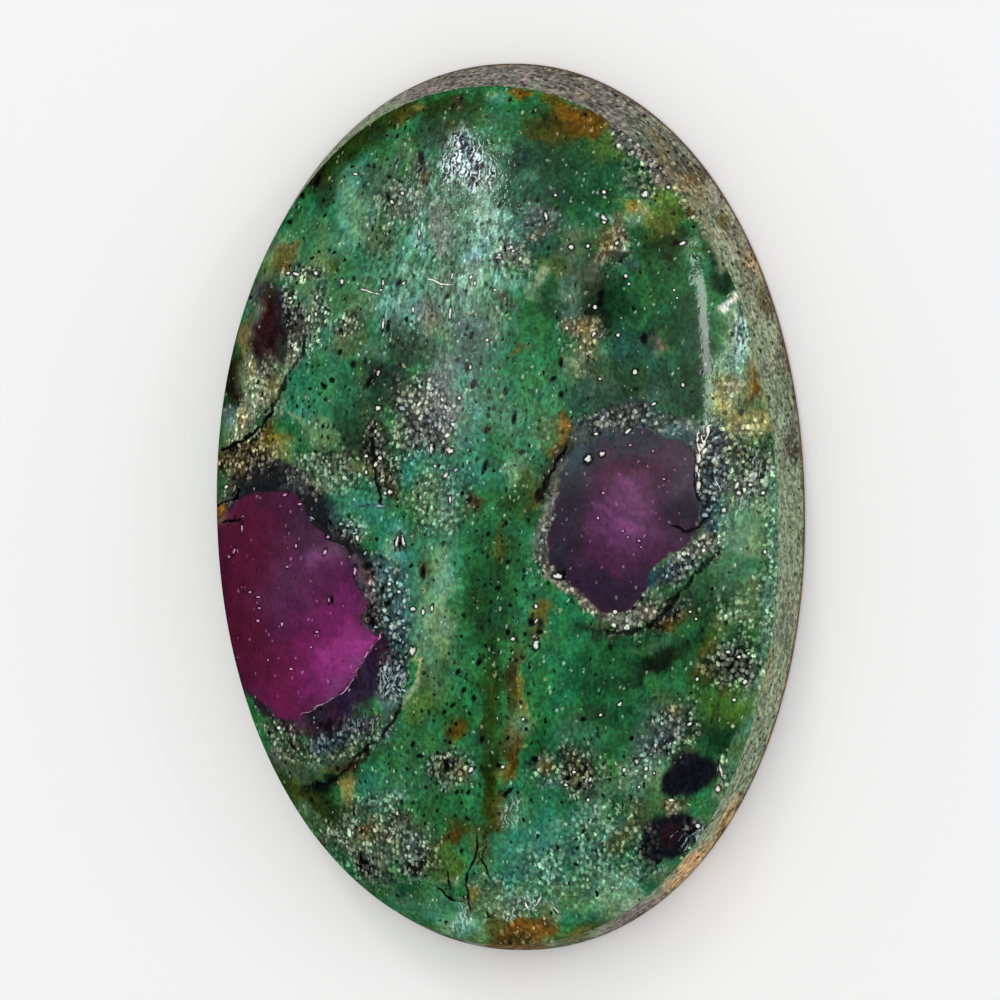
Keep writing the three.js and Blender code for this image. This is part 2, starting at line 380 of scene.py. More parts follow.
# Smaller spots, painted over the fields in the same way.
UPPER_LEFT = (
    (340, 300, 110, 90, 60, "teal", 0.35), (345, 150, 75, 17, 50, "dark_olive", 0.9),
    (300, 215, 34, 24, 60, "bright_green", 0.8), (318, 182, 16, 10, 50, "umber", 0.7),
    (330, 195, 22, 12, 50, "forest", 0.7), (375, 128, 14, 9, 30, "forest", 0.7),
    (405, 112, 22, 11, 20, "rust", 0.8), (385, 118, 16, 10, 30, "dark_olive", 0.8),
    (445, 106, 46, 13, 5, "dark_olive", 0.85), (421, 107, 8, 7, 0, "straw", 0.5),
    (458, 104, 9, 8, 90, "brown", 0.6), (385, 145, 26, 12, 30, "green", 0.7),
    (350, 205, 40, 15, 90, "pale_teal", 0.6), (355, 175, 16, 9, 90, "blue_teal", 0.6),
    (330, 235, 24, 20, 90, "teal", 0.5), (378, 188, 24, 17, 90, "grey_green", 0.7),
    (374, 240, 24, 13, 90, "grey_green", 0.8), (392, 240, 32, 9, 90, "olive", 0.4),
    (405, 205, 20, 18, 0, "grey", 0.6), (404, 190, 10, 7, 0, "charcoal", 0.4),
    (421, 165, 20, 7, 90, "black_green", 0.8), (425, 180, 8, 7, 90, "olive", 0.6),
    (440, 130, 26, 16, 0, "forest", 0.8), (405, 145, 14, 14, 0, "sage", 0.4),
    (450, 150, 14, 12, 0, "deep_teal", 0.7), (450, 185, 24, 20, 90, "dull_green", 0.5),
    # The frost spot at the start of this line is painted highlight, where the lamp mirrors in the dome.
    (470, 165, 36, 13, 100, "frost", 0.5), (488, 178, 24, 9, 100, "sage", 0.6),
    (500, 165, 22, 8, 100, "sage", 0.5), (495, 130, 16, 14, 0, "teal", 0.5),
    (498, 97, 12, 8, 0, "pale_teal", 0.5), (500, 115, 22, 9, 0, "sage", 0.3),
    (440, 232, 30, 13, 90, "grey", 0.7), (457, 228, 26, 9, 90, "sage", 0.6),
    # The pale teal and frost spots on this line and the next are partly painted sheen, partly pale rock.
    (490, 232, 42, 18, 92, "pale_teal", 0.75), (482, 215, 24, 8, 92, "frost", 0.4),
    (474, 285, 46, 13, 88, "pale_teal", 0.7), (474, 270, 30, 7, 88, "frost", 0.4),
    (416, 265, 50, 22, 90, "teal", 0.5), (410, 285, 34, 12, 90, "pale_teal", 0.5),
    (420, 238, 14, 6, 90, "frost", 0.4), (515, 250, 18, 15, 90, "grey", 0.7),
    (500, 258, 9, 7, 90, "umber", 0.6), (512, 284, 16, 11, -10, "pale_teal", 0.8),
    (509, 303, 16, 7, -35, "brown", 0.6), (286, 256, 20, 9, 30, "mustard", 0.95),
    (290, 262, 6, 6, 0, "rust", 0.6), (278, 249, 8, 4, 10, "umber", 0.8),
    (298, 272, 22, 9, -20, "pale_sage", 0.6), (316, 262, 13, 9, 60, "pale_sage", 0.4),
    (330, 270, 11, 11, 0, "olive", 0.6), (276, 326, 50, 28, 92, "dark_slate", 0.95),
    (266, 326, 42, 17, 91, "dark_maroon", 1.0), (310, 312, 30, 10, 95, "pale_sage", 0.5),
    (298, 340, 34, 10, 85, "grey", 0.5), (247, 330, 36, 6, 82, "olive", 0.7),
    (290, 310, 22, 10, 100, "charcoal", 0.8), (248, 372, 12, 5, 80, "orange", 0.7),
    (348, 322, 17, 10, 40, "brown", 0.6), (360, 338, 22, 7, 62, "olive", 0.7),
    (327, 335, 30, 11, 72, "teal", 0.7), (430, 310, 20, 14, 90, "tan", 0.45),
    (427, 332, 14, 9, 90, "grey", 0.5), (450, 330, 26, 12, 85, "sage", 0.5),
    (395, 330, 12, 16, 0, "forest", 0.8), (372, 350, 16, 9, 0, "sage", 0.5),
    (410, 352, 22, 9, 0, "forest", 0.8), (470, 335, 26, 22, 90, "slate", 0.5),
    (490, 320, 16, 10, 90, "grey", 0.4), (500, 350, 12, 14, 0, "teal", 0.5),
    # The two frost spots on this line and the pale teal spot that starts the next are painted highlight from
    # the lamp.
    (460, 152, 24, 14, 75, "frost", 0.5), (474, 168, 24, 10, 108, "frost", 0.6),
    (452, 168, 16, 8, 90, "pale_teal", 0.5), (340, 350, 20, 12, 60, "brown", 0.4),
    (428, 308, 16, 13, 90, "brown", 0.5), (423, 180, 7, 6, 0, "rust", 0.7),
)
UPPER_RIGHT = (
    (600, 200, 120, 80, -30, "deep_green", 0.5), (520, 130, 26, 22, 0, "green", 0.6),
    (564, 126, 46, 18, 8, "rust", 0.95), (578, 112, 26, 10, -12, "orange", 0.8),
    (592, 128, 15, 14, 0, "orange", 0.7), (546, 132, 18, 10, 0, "mustard", 0.6),
    (554, 103, 18, 8, -10, "mustard", 0.8), (522, 92, 12, 6, -20, "orange", 0.8),
    (519, 160, 18, 11, 90, "black_green", 0.8), (530, 178, 13, 5, 30, "pale_teal", 0.7),
    (565, 160, 40, 24, 0, "forest", 0.7), (575, 190, 30, 18, 0, "black_green", 0.4),
    (552, 195, 9, 7, 0, "slate", 0.6), (595, 185, 34, 24, 90, "deep_green", 0.7),
    (540, 222, 22, 18, 0, "slate", 0.6), (534, 214, 8, 8, 0, "grey", 0.7), (541, 229, 7, 5, 0, "tan", 0.6),
    (548, 216, 6, 4, 90, "frost", 0.5), (522, 228, 20, 12, 90, "blue_teal", 0.5),
    (545, 244, 20, 12, 0, "deep_teal", 0.6), (580, 238, 18, 6, 25, "sage", 0.4),
    (618, 145, 20, 17, -40, "moss", 0.75), (600, 155, 14, 12, 0, "olive", 0.5),
    (628, 182, 14, 9, -45, "sage", 0.5), (643, 180, 11, 9, 60, "brown", 0.5),
    (628, 200, 20, 14, 30, "teal", 0.5), (662, 178, 15, 7, -35, "straw", 0.7),
    (646, 195, 8, 8, 0, "cream", 0.8), (668, 187, 8, 7, 0, "cream", 0.8),
    (684, 196, 22, 9, -40, "tan", 0.7), (675, 207, 30, 13, -15, "moss", 0.8),
    (633, 212, 13, 9, 60, "pale_sage", 0.7), (632, 203, 8, 5, 60, "mustard", 0.6),
    (603, 222, 13, 5, -40, "pale_teal", 0.8), (611, 243, 34, 8, 72, "tan", 0.8),
    (600, 250, 12, 6, 72, "mustard", 0.5), (619, 243, 10, 6, 80, "cream", 0.4),
    (621, 253, 8, 7, 0, "charcoal", 0.5), (665, 225, 26, 13, 35, "olive", 0.8),
    (665, 245, 32, 16, 10, "dark_olive", 0.7), (670, 263, 12, 10, 0, "umber", 0.7),
    (690, 240, 10, 8, 0, "charcoal", 0.5), (645, 280, 34, 22, 0, "green", 0.6),
    (630, 268, 10, 8, 0, "slate", 0.6), (718, 268, 36, 9, -72, "forest", 0.8),
    (726, 285, 10, 8, 0, "black_green", 0.4), (600, 300, 36, 12, 97, "black_green", 0.85),
    (617, 300, 22, 13, 90, "vivid_dark_green", 0.9), (592, 265, 20, 8, 90, "dark_olive", 0.6),
    (560, 265, 26, 11, -10, "olive", 0.5), (540, 276, 15, 9, 60, "cream", 0.55),
    (532, 290, 13, 9, 0, "pale_sage", 0.5), (555, 300, 22, 22, 90, "forest", 0.6),
    (575, 290, 22, 12, 90, "sage", 0.4), (570, 327, 13, 10, 0, "tan", 0.8),
    (590, 335, 13, 14, 0, "tan", 0.7), (535, 335, 26, 18, 0, "green", 0.8),
    (521, 346, 9, 7, 0, "mustard", 0.8), (590, 352, 12, 12, 0, "straw", 0.5),
    (624, 345, 14, 15, 0, "deep_teal", 0.8), (647, 345, 24, 11, 75, "black_green", 0.8),
    (662, 345, 9, 10, 0, "tan", 0.5), (680, 320, 28, 26, 90, "forest", 0.6),
    # The pale sage and pale teal spots that end this line and the next are partly painted sheen, partly pale
    # rock.
    (660, 300, 18, 14, 0, "green", 0.5), (735, 330, 46, 14, 80, "pale_sage", 0.7),
    (722, 320, 24, 9, 85, "sage", 0.6), (742, 352, 24, 12, 85, "pale_teal", 0.5),
)
MIDDLE_LEFT = (
    (235, 388, 44, 9, 92, "umber", 0.95), (239, 368, 14, 7, 110, "brown", 0.7),
    (258, 382, 30, 22, 80, "pale_sage", 0.9), (270, 390, 18, 9, 75, "straw", 0.7),
    (248, 412, 30, 12, 62, "cream", 0.8), (232, 432, 24, 14, 80, "sage", 0.8),
    (228, 420, 14, 7, 85, "slate", 0.5), (265, 432, 20, 7, 50, "rust", 0.8),
    (262, 438, 8, 5, 50, "orange", 0.5), (240, 462, 28, 15, 5, "mustard", 0.8),
    (228, 470, 14, 14, 0, "brown", 0.7), (272, 452, 20, 13, 10, "straw", 0.6),
    (262, 462, 14, 7, 0, "mustard", 0.6), (226, 490, 12, 12, 0, "grey_green", 0.7),
    (335, 375, 36, 20, 15, "bright_green", 0.8), (352, 400, 36, 22, 82, "deep_green", 0.7),
    (302, 400, 20, 22, 0, "teal", 0.9), (306, 415, 8, 8, 0, "blue_teal", 0.7),
    (294, 418, 7, 6, 60, "pale_sage", 0.7), (316, 430, 18, 16, 0, "sage", 0.6),
    (348, 435, 22, 18, 90, "forest", 0.7), (385, 380, 20, 20, 0, "black_green", 0.7),
    (376, 375, 12, 10, 60, "charcoal", 0.6), (362, 392, 28, 7, 80, "brown", 0.5),
    (379, 430, 26, 11, 95, "umber", 0.6), (376, 460, 18, 9, 100, "umber", 0.7),
    (389, 485, 18, 9, 110, "brown", 0.85), (360, 468, 16, 7, -10, "straw", 0.5),
    (330, 460, 34, 14, 0, "grey_green", 0.6), (322, 482, 26, 14, -10, "sage", 0.7),
    (325, 491, 9, 6, 0, "cream", 0.4), (425, 412, 40, 32, 90, "grey", 0.7),
    (447, 400, 38, 16, 90, "lavender", 0.7), (418, 420, 13, 14, 0, "charcoal", 0.5),
    (440, 368, 18, 14, 90, "grey", 0.4), (462, 378, 28, 10, 80, "blue_teal", 0.5),
    (478, 380, 11, 6, 90, "slate", 0.7), (479, 405, 14, 14, 0, "blue_teal", 0.8),
    (418, 462, 30, 14, 5, "teal", 0.8), (490, 430, 7, 7, 0, "olive", 0.6),
    (505, 430, 60, 18, 90, "green", 0.5), (436, 500, 26, 24, 90, "sage", 0.7),
    (450, 503, 16, 8, 90, "grey", 0.4), (477, 503, 10, 9, 90, "brown", 0.9),
    (480, 470, 22, 22, 90, "teal", 0.4), (480, 540, 26, 22, 90, "green", 0.6),
    (490, 590, 56, 24, 90, "deep_green", 0.7), (480, 610, 30, 12, 90, "dark_olive", 0.4),
    (503, 540, 22, 6, 88, "mustard", 0.6), (352, 500, 22, 11, -25, "teal", 0.95),
    (388, 530, 28, 18, -55, "teal", 0.95), (372, 507, 10, 6, -20, "blue_teal", 0.6),
    (398, 542, 10, 10, 80, "pale_teal", 0.5), (400, 575, 40, 12, 95, "deep_teal", 0.9),
    (395, 612, 22, 12, 90, "deep_teal", 0.7), (425, 570, 9, 7, 60, "brown", 0.7),
    (446, 575, 42, 11, 87, "pale_sage", 0.5), (414, 530, 15, 7, 100, "olive", 0.6),
    (440, 625, 26, 20, 90, "pale_sage", 0.45), (265, 480, 34, 15, 8, "charcoal", 0.95),
    (238, 497, 14, 8, 30, "grey_green", 0.6), (318, 512, 34, 14, -45, "charcoal", 0.95),
    (345, 545, 22, 10, -30, "charcoal", 0.8), (355, 527, 12, 7, -30, "lavender", 0.5),
    (372, 575, 30, 9, -75, "charcoal", 0.85), (377, 612, 12, 14, 0, "charcoal", 0.8),
)
MIDDLE_RIGHT = (
    (545, 380, 44, 30, 90, "green", 0.6), (620, 378, 52, 24, 0, "forest", 0.75),
    (600, 385, 28, 14, 0, "slate", 0.4), (690, 388, 30, 18, 90, "forest", 0.7),
    (655, 395, 26, 12, 5, "grey_green", 0.5), (650, 362, 12, 12, 0, "green", 0.5),
    (573, 365, 14, 10, 0, "olive", 0.4), (562, 430, 20, 11, 85, "mustard", 0.95),
    (557, 442, 10, 7, 80, "rust", 0.7), (565, 427, 5, 5, 0, "gold", 1.0),
    (545, 475, 36, 8, 58, "umber", 0.75), (527, 480, 14, 12, 60, "olive", 0.7),
    (514, 470, 16, 12, 90, "pale_sage", 0.6), (533, 498, 10, 10, 0, "mustard", 0.6),
    (516, 500, 22, 16, 70, "dark_olive", 0.6), (530, 520, 14, 12, 0, "dark_olive", 0.5),
    (545, 510, 20, 5, 78, "tan", 0.5), (530, 575, 22, 20, 90, "green", 0.6),
    (500, 620, 20, 20, 90, "forest", 0.4), (575, 618, 28, 22, 0, "bright_green", 0.8),
    (573, 585, 24, 12, -35, "green", 0.7), (612, 420, 46, 8, 8, "grey", 0.5),
    (570, 455, 26, 6, 60, "grey_green", 0.8), (552, 515, 40, 6, 75, "sage", 0.7),
    (573, 582, 34, 5, -38, "pale_sage", 0.6), (680, 428, 22, 8, -15, "slate", 0.8),
    # The white streak at the start of this line is painted highlight, the strip's reflection on the right
    # ruby's edge.
    (700, 445, 22, 5, 93, "white", 0.7), (716, 470, 44, 14, 92, "slate", 0.9),
    (712, 495, 20, 9, 92, "deep_teal", 0.8), (722, 495, 16, 7, 100, "frost", 0.3),
    (735, 455, 18, 14, -25, "olive", 0.7), (764, 464, 12, 8, 10, "umber", 0.9),
    (756, 480, 14, 5, 95, "umber", 0.8), (752, 500, 8, 5, 0, "tan", 0.6),
    (748, 420, 28, 15, 5, "straw", 0.9), (745, 424, 14, 6, 0, "mustard", 0.5),
    (750, 440, 16, 8, 0, "moss", 0.5), (728, 395, 22, 9, 95, "straw", 0.6),
    (733, 388, 8, 6, 90, "cream", 0.5), (752, 386, 26, 13, 72, "rust", 0.95),
    (755, 378, 20, 8, 72, "orange", 0.9), (743, 365, 16, 9, 85, "pale_sage", 0.6),
    (750, 530, 34, 24, 80, "bright_green", 0.5), (735, 520, 14, 14, 0, "sage", 0.6),
    (745, 565, 36, 14, 42, "bright_green", 0.7), (725, 585, 34, 16, 45, "deep_green", 0.7),
    (712, 532, 20, 10, 88, "grey", 0.8), (693, 556, 28, 10, 42, "grey", 0.8),
    (667, 575, 20, 9, 30, "deep_teal", 0.8), (675, 578, 16, 8, 30, "slate", 0.5),
    (640, 605, 14, 12, 30, "grey", 0.6), (632, 621, 26, 7, 8, "grey", 0.7),
    (700, 600, 40, 12, 42, "forest", 0.7), (672, 616, 34, 10, 32, "black_green", 0.95),
    (676, 621, 24, 8, 22, "rust", 0.8), (600, 633, 24, 8, -20, "black_green", 0.8),
    (640, 640, 40, 10, 5, "deep_green", 0.8), (750, 610, 24, 24, 90, "moss", 0.5),
    (735, 615, 20, 9, 0, "pale_sage", 0.5), (740, 640, 34, 18, 10, "green", 0.5),
    (537, 622, 20, 13, 85, "mustard", 0.9), (536, 622, 14, 9, 85, "rust", 0.7),
    # The frost spot at the end of this line is partly painted sheen on the steep right shoulder, partly pale
    # rock.
    (537, 628, 9, 6, 90, "umber", 0.9), (740, 350, 34, 12, 84, "frost", 0.5),
    (732, 392, 18, 9, 80, "cream", 0.6), (748, 545, 22, 16, 60, "pale_sage", 0.6),
    (742, 480, 16, 12, 60, "brown", 0.5), (560, 430, 18, 8, 80, "rust", 0.5),
)
LOWER_LEFT = (
    (395, 655, 28, 13, 88, "deep_teal", 0.95), (389, 690, 30, 8, 82, "lavender", 0.6),
    (412, 650, 10, 8, 60, "pale_sage", 0.5), (318, 728, 24, 9, 5, "ink", 0.7),
    (322, 742, 20, 9, 0, "slate", 0.9), (352, 738, 18, 8, 20, "deep_teal", 0.8),
    (370, 722, 12, 8, 30, "tan", 0.6), (388, 722, 26, 8, 68, "slate", 0.7),
    (398, 715, 18, 5, 60, "brown", 0.6), (290, 765, 34, 20, -30, "grey_green", 0.9),
    (272, 735, 20, 10, -55, "grey_green", 0.8), (297, 744, 11, 7, -15, "umber", 0.95),
    (325, 765, 22, 9, 5, "grey_green", 0.7), (333, 770, 18, 6, 15, "mustard", 0.5),
    (325, 783, 44, 7, 12, "black_green", 0.9), (312, 787, 20, 4, 12, "ink", 0.7),
    (360, 760, 26, 8, 48, "umber", 0.9), (347, 765, 10, 9, 60, "brown", 0.6),
    (385, 748, 18, 6, 35, "dark_olive", 0.7), (300, 795, 26, 12, -45, "olive", 0.6),
    (348, 793, 14, 9, 80, "straw", 0.6), (352, 785, 6, 8, 0, "cream", 0.4),
    (385, 790, 40, 26, 0, "teal", 0.6), (410, 757, 30, 26, 0, "green", 0.6),
    (374, 803, 8, 6, 0, "pale_teal", 0.6), (394, 797, 9, 7, 0, "pale_teal", 0.5),
    (325, 812, 26, 14, -40, "dark_olive", 0.7), (355, 808, 18, 9, 0, "forest", 0.5),
    (335, 832, 18, 10, -20, "sage", 0.6), (328, 842, 9, 6, -40, "umber", 0.5),
    (375, 828, 22, 7, -10, "tan", 0.7), (362, 831, 8, 8, 0, "mustard", 0.8),
    (400, 822, 14, 8, 10, "brown", 0.6), (360, 845, 14, 10, 80, "pale_sage", 0.5),
    (376, 855, 16, 14, 0, "grey", 0.5), (366, 864, 17, 9, -42, "ink", 0.95),
    (412, 848, 16, 14, 90, "slate", 0.6), (420, 862, 11, 9, 20, "ink", 0.8),
    (410, 866, 9, 6, 0, "charcoal", 0.6), (388, 882, 18, 12, -40, "slate", 0.5),
    (408, 893, 28, 14, -30, "deep_green", 0.8), (438, 902, 14, 16, 0, "teal", 0.8),
    (460, 915, 11, 10, 0, "pale_sage", 0.8), (458, 933, 26, 10, -15, "sage", 0.6),
    (440, 668, 34, 24, 90, "sage", 0.5), (420, 700, 26, 12, 80, "moss", 0.6),
    (455, 690, 26, 14, 90, "bright_green", 0.4), (456, 728, 20, 13, 70, "olive", 0.7),
    (460, 726, 13, 8, 80, "rust", 0.9), (447, 766, 17, 15, 0, "brown", 0.6),
    (460, 775, 10, 10, 0, "tan", 0.5), (448, 764, 6, 6, 0, "charcoal", 0.7),
    (437, 758, 5, 5, 0, "charcoal", 0.6), (472, 769, 9, 8, 60, "pale_teal", 0.8),
    (452, 785, 24, 6, 20, "sage", 0.7), (430, 775, 14, 10, 90, "bright_green", 0.5),
    (490, 790, 56, 8, 88, "dark_olive", 0.7), (484, 740, 20, 9, 90, "forest", 0.5),
    (452, 832, 20, 8, 25, "rust", 0.9), (446, 835, 6, 5, 0, "umber", 0.6),
    (463, 820, 9, 7, 0, "dark_olive", 0.7), (511, 676, 22, 8, 95, "brown", 0.7),
    (516, 702, 20, 8, 88, "olive", 0.6), (520, 690, 30, 5, 95, "straw", 0.4),
    (511, 752, 32, 11, 92, "rust", 1.0), (510, 776, 9, 6, 80, "orange", 0.6),
    (507, 745, 12, 6, 87, "umber", 0.6), (503, 766, 9, 5, 75, "straw", 0.5),
    (499, 816, 22, 9, 88, "rust", 0.9), (500, 822, 10, 5, 88, "brown", 0.6),
    (507, 795, 6, 6, 0, "ink", 0.8), (482, 850, 20, 9, 95, "mustard", 0.5),
    (450, 855, 18, 18, 0, "moss", 0.5), (440, 868, 9, 9, 0, "dark_olive", 0.6),
    (452, 890, 10, 8, 40, "forest", 0.5), (450, 880, 14, 4, 40, "pale_sage", 0.6),
    (470, 902, 14, 9, 75, "brown", 0.7), (474, 892, 8, 5, 80, "straw", 0.6),
    (515, 850, 32, 26, 90, "teal", 0.8), (495, 905, 16, 16, 0, "sage", 0.6),
    (496, 925, 16, 14, 80, "mustard", 0.6), (524, 928, 32, 18, 0, "mustard", 0.95),
    (514, 930, 14, 13, 0, "orange", 0.95), (545, 920, 18, 14, 60, "rust", 0.8),
    (342, 708, 20, 10, 40, "ink_violet", 0.9), (330, 724, 22, 8, 0, "charcoal", 0.8),
)
LOWER_RIGHT = (
    (560, 690, 50, 34, 90, "bright_green", 0.5), (600, 690, 36, 36, 0, "deep_green", 0.6),
    (654, 664, 54, 10, 36, "black_green", 0.9), (627, 680, 14, 9, 62, "black_green", 0.85),
    (680, 655, 14, 8, 10, "umber", 0.5), (600, 715, 20, 8, 8, "forest", 0.8),
    (665, 702, 28, 14, 20, "grey_green", 0.6), (680, 712, 10, 9, 0, "tan", 0.5),
    (668, 735, 32, 15, 48, "slate", 0.8), (680, 728, 14, 9, 45, "grey", 0.7),
    (640, 746, 12, 8, 20, "slate", 0.5), (625, 758, 18, 6, 35, "olive", 0.5),
    (642, 765, 24, 9, 15, "pale_teal", 0.85), (636, 782, 20, 14, 0, "sage", 0.6),
    (656, 752, 14, 5, 45, "charcoal", 0.5), (690, 752, 22, 6, 25, "olive", 0.6),
    (718, 745, 22, 22, 90, "vivid_dark_green", 0.8), (720, 716, 30, 18, 10, "moss", 0.5),
    (705, 725, 20, 20, 0, "forest", 0.5), (700, 680, 14, 12, 90, "dark_olive", 0.6),
    (745, 681, 9, 7, 40, "lavender", 0.8), (757, 664, 12, 7, 90, "sage", 0.5),
    (723, 695, 10, 8, 20, "rust", 0.8), (744, 700, 10, 9, 60, "sage", 0.6),
    (652, 850, 16, 8, 110, "deep_teal", 0.5), (674, 806, 16, 9, 0, "tan", 0.7),
    (672, 802, 5, 4, 0, "cream", 0.7), (717, 785, 17, 6, 78, "pale_sage", 0.8),
    (702, 805, 12, 12, 45, "green", 0.7), (698, 825, 10, 8, 60, "slate", 0.7),
    (577, 772, 22, 16, 110, "brown", 0.7), (568, 780, 8, 9, 0, "tan", 0.5),
    (590, 790, 10, 8, 0, "umber", 0.5), (550, 769, 9, 7, 0, "mustard", 0.7),
    (547, 762, 9, 5, 20, "cream", 0.4), (553, 783, 16, 9, -10, "slate", 0.6),
    (537, 760, 8, 6, 0, "black_green", 0.7), (570, 730, 20, 14, 60, "sage", 0.4),
    (545, 745, 12, 12, 0, "deep_green", 0.6), (555, 830, 52, 40, 0, "teal", 0.75),
    (545, 845, 26, 18, 0, "blue_teal", 0.3), (568, 800, 16, 10, 0, "deep_green", 0.5),
    (592, 816, 12, 8, 20, "pale_teal", 0.7), (553, 827, 9, 5, 0, "pale_teal", 0.6),
    (573, 825, 8, 5, 0, "pale_teal", 0.5), (588, 828, 12, 12, 0, "sage", 0.4),
    (600, 855, 26, 20, 70, "blue_teal", 0.5), (590, 858, 10, 14, 0, "slate", 0.4),
    (616, 842, 22, 12, 58, "olive", 0.8), (613, 828, 9, 9, 0, "sage", 0.5),
    (645, 812, 18, 16, 90, "dark_olive", 0.5), (628, 828, 12, 8, 60, "olive", 0.5),
    (614, 890, 22, 16, 0, "pale_teal", 0.8), (645, 872, 14, 14, 0, "vivid_dark_green", 0.6),
    (632, 868, 12, 8, -30, "pale_teal", 0.5), (558, 890, 18, 12, 20, "olive", 0.5),
    (556, 908, 10, 9, 0, "pale_sage", 0.8), (555, 870, 9, 8, 0, "pale_teal", 0.5),
    (598, 920, 36, 10, 18, "dark_olive", 0.6), (592, 930, 22, 6, 18, "mustard", 0.5),
    (640, 893, 22, 10, 35, "green", 0.6), (545, 872, 24, 14, 0, "pale_teal", 0.5),
    (548, 912, 12, 10, 0, "mustard", 0.6),
)

# Bands of colour along a line of points, painted over the spots: points, half width, colour, strength.
STREAKS = (
    (RIGHT_RUBY + RIGHT_RUBY[:1], 11, "slate_rim", 0.9),
    (LEFT_RUBY[:9], 13, "charcoal", 0.95),
    (LEFT_RUBY[8:17], 12, "charcoal", 0.9),
    (LEFT_RUBY[16:], 8, "ink_violet", 0.9),
    (((240, 490), (262, 478), (290, 482), (310, 500), (326, 520), (340, 540)), 15, "charcoal", 1.0),
    (((340, 540), (364, 554), (372, 575)), 12, "charcoal", 0.9),
    (((360, 560), (368, 580), (376, 602), (370, 622)), 9, "mauve_grey", 0.7),
    (((374, 610), (384, 622), (384, 634)), 7, "charcoal", 0.8),
    (((384, 560), (396, 590), (394, 625)), 12, "rim_teal", 0.9),
    (((388, 632), (396, 650), (392, 676)), 10, "navy_teal", 0.8),
    (((325, 726), (350, 706), (368, 686), (376, 658)), 16, "ink_violet", 0.9),
    (((345, 706), (362, 688), (372, 664)), 9, "dusk", 0.6),
    (((290, 724), (312, 732), (335, 728)), 8, "ink", 0.7),
    (((318, 742), (345, 738), (368, 722)), 8, "navy_teal", 0.8),
    (((578, 440), (562, 464), (552, 495), (544, 526), (541, 554), (556, 580)), 8, "grain_grey", 0.7),
    (((704, 535), (686, 552), (660, 572), (644, 600), (630, 616), (606, 620)), 16, "grey_green", 0.9),
    (((606, 614), (628, 618), (650, 610)), 9, "grain_grey", 0.85),
    (((706, 520), (708, 538), (694, 552), (676, 562)), 9, "grain_grey", 0.7),
    (((654, 580), (672, 570), (688, 562)), 8, "navy_teal", 0.9),
    (((712, 436), (714, 480), (708, 522)), 10, "navy_teal", 0.9),
    (((572, 440), (600, 424), (640, 418), (675, 424), (694, 442)), 16, "slate_rim", 0.85),
    (((566, 448), (552, 470), (540, 496)), 5, "umber", 0.8),
    (((552, 576), (566, 588), (582, 600), (596, 611), (608, 620)), 5, "grain_grey", 0.85),
    (((610, 116), (636, 138), (656, 160), (670, 178)), 13, "wall_grey", 0.9),
    (((672, 172), (690, 192), (702, 214)), 9, "wall_rust", 0.6),
    (((702, 214), (714, 238), (724, 262)), 9, "wall_sage", 0.6),
    (((752, 340), (764, 372), (770, 410)), 7, "wall_sage", 0.6),
    (((768, 460), (774, 510), (774, 570), (770, 630), (762, 680)), 9, "pale_jade", 0.6),
    (((760, 690), (748, 730), (732, 772)), 8, "sage", 0.7),
    (((420, 662), (412, 684), (403, 708)), 3, "cream", 0.6),
)

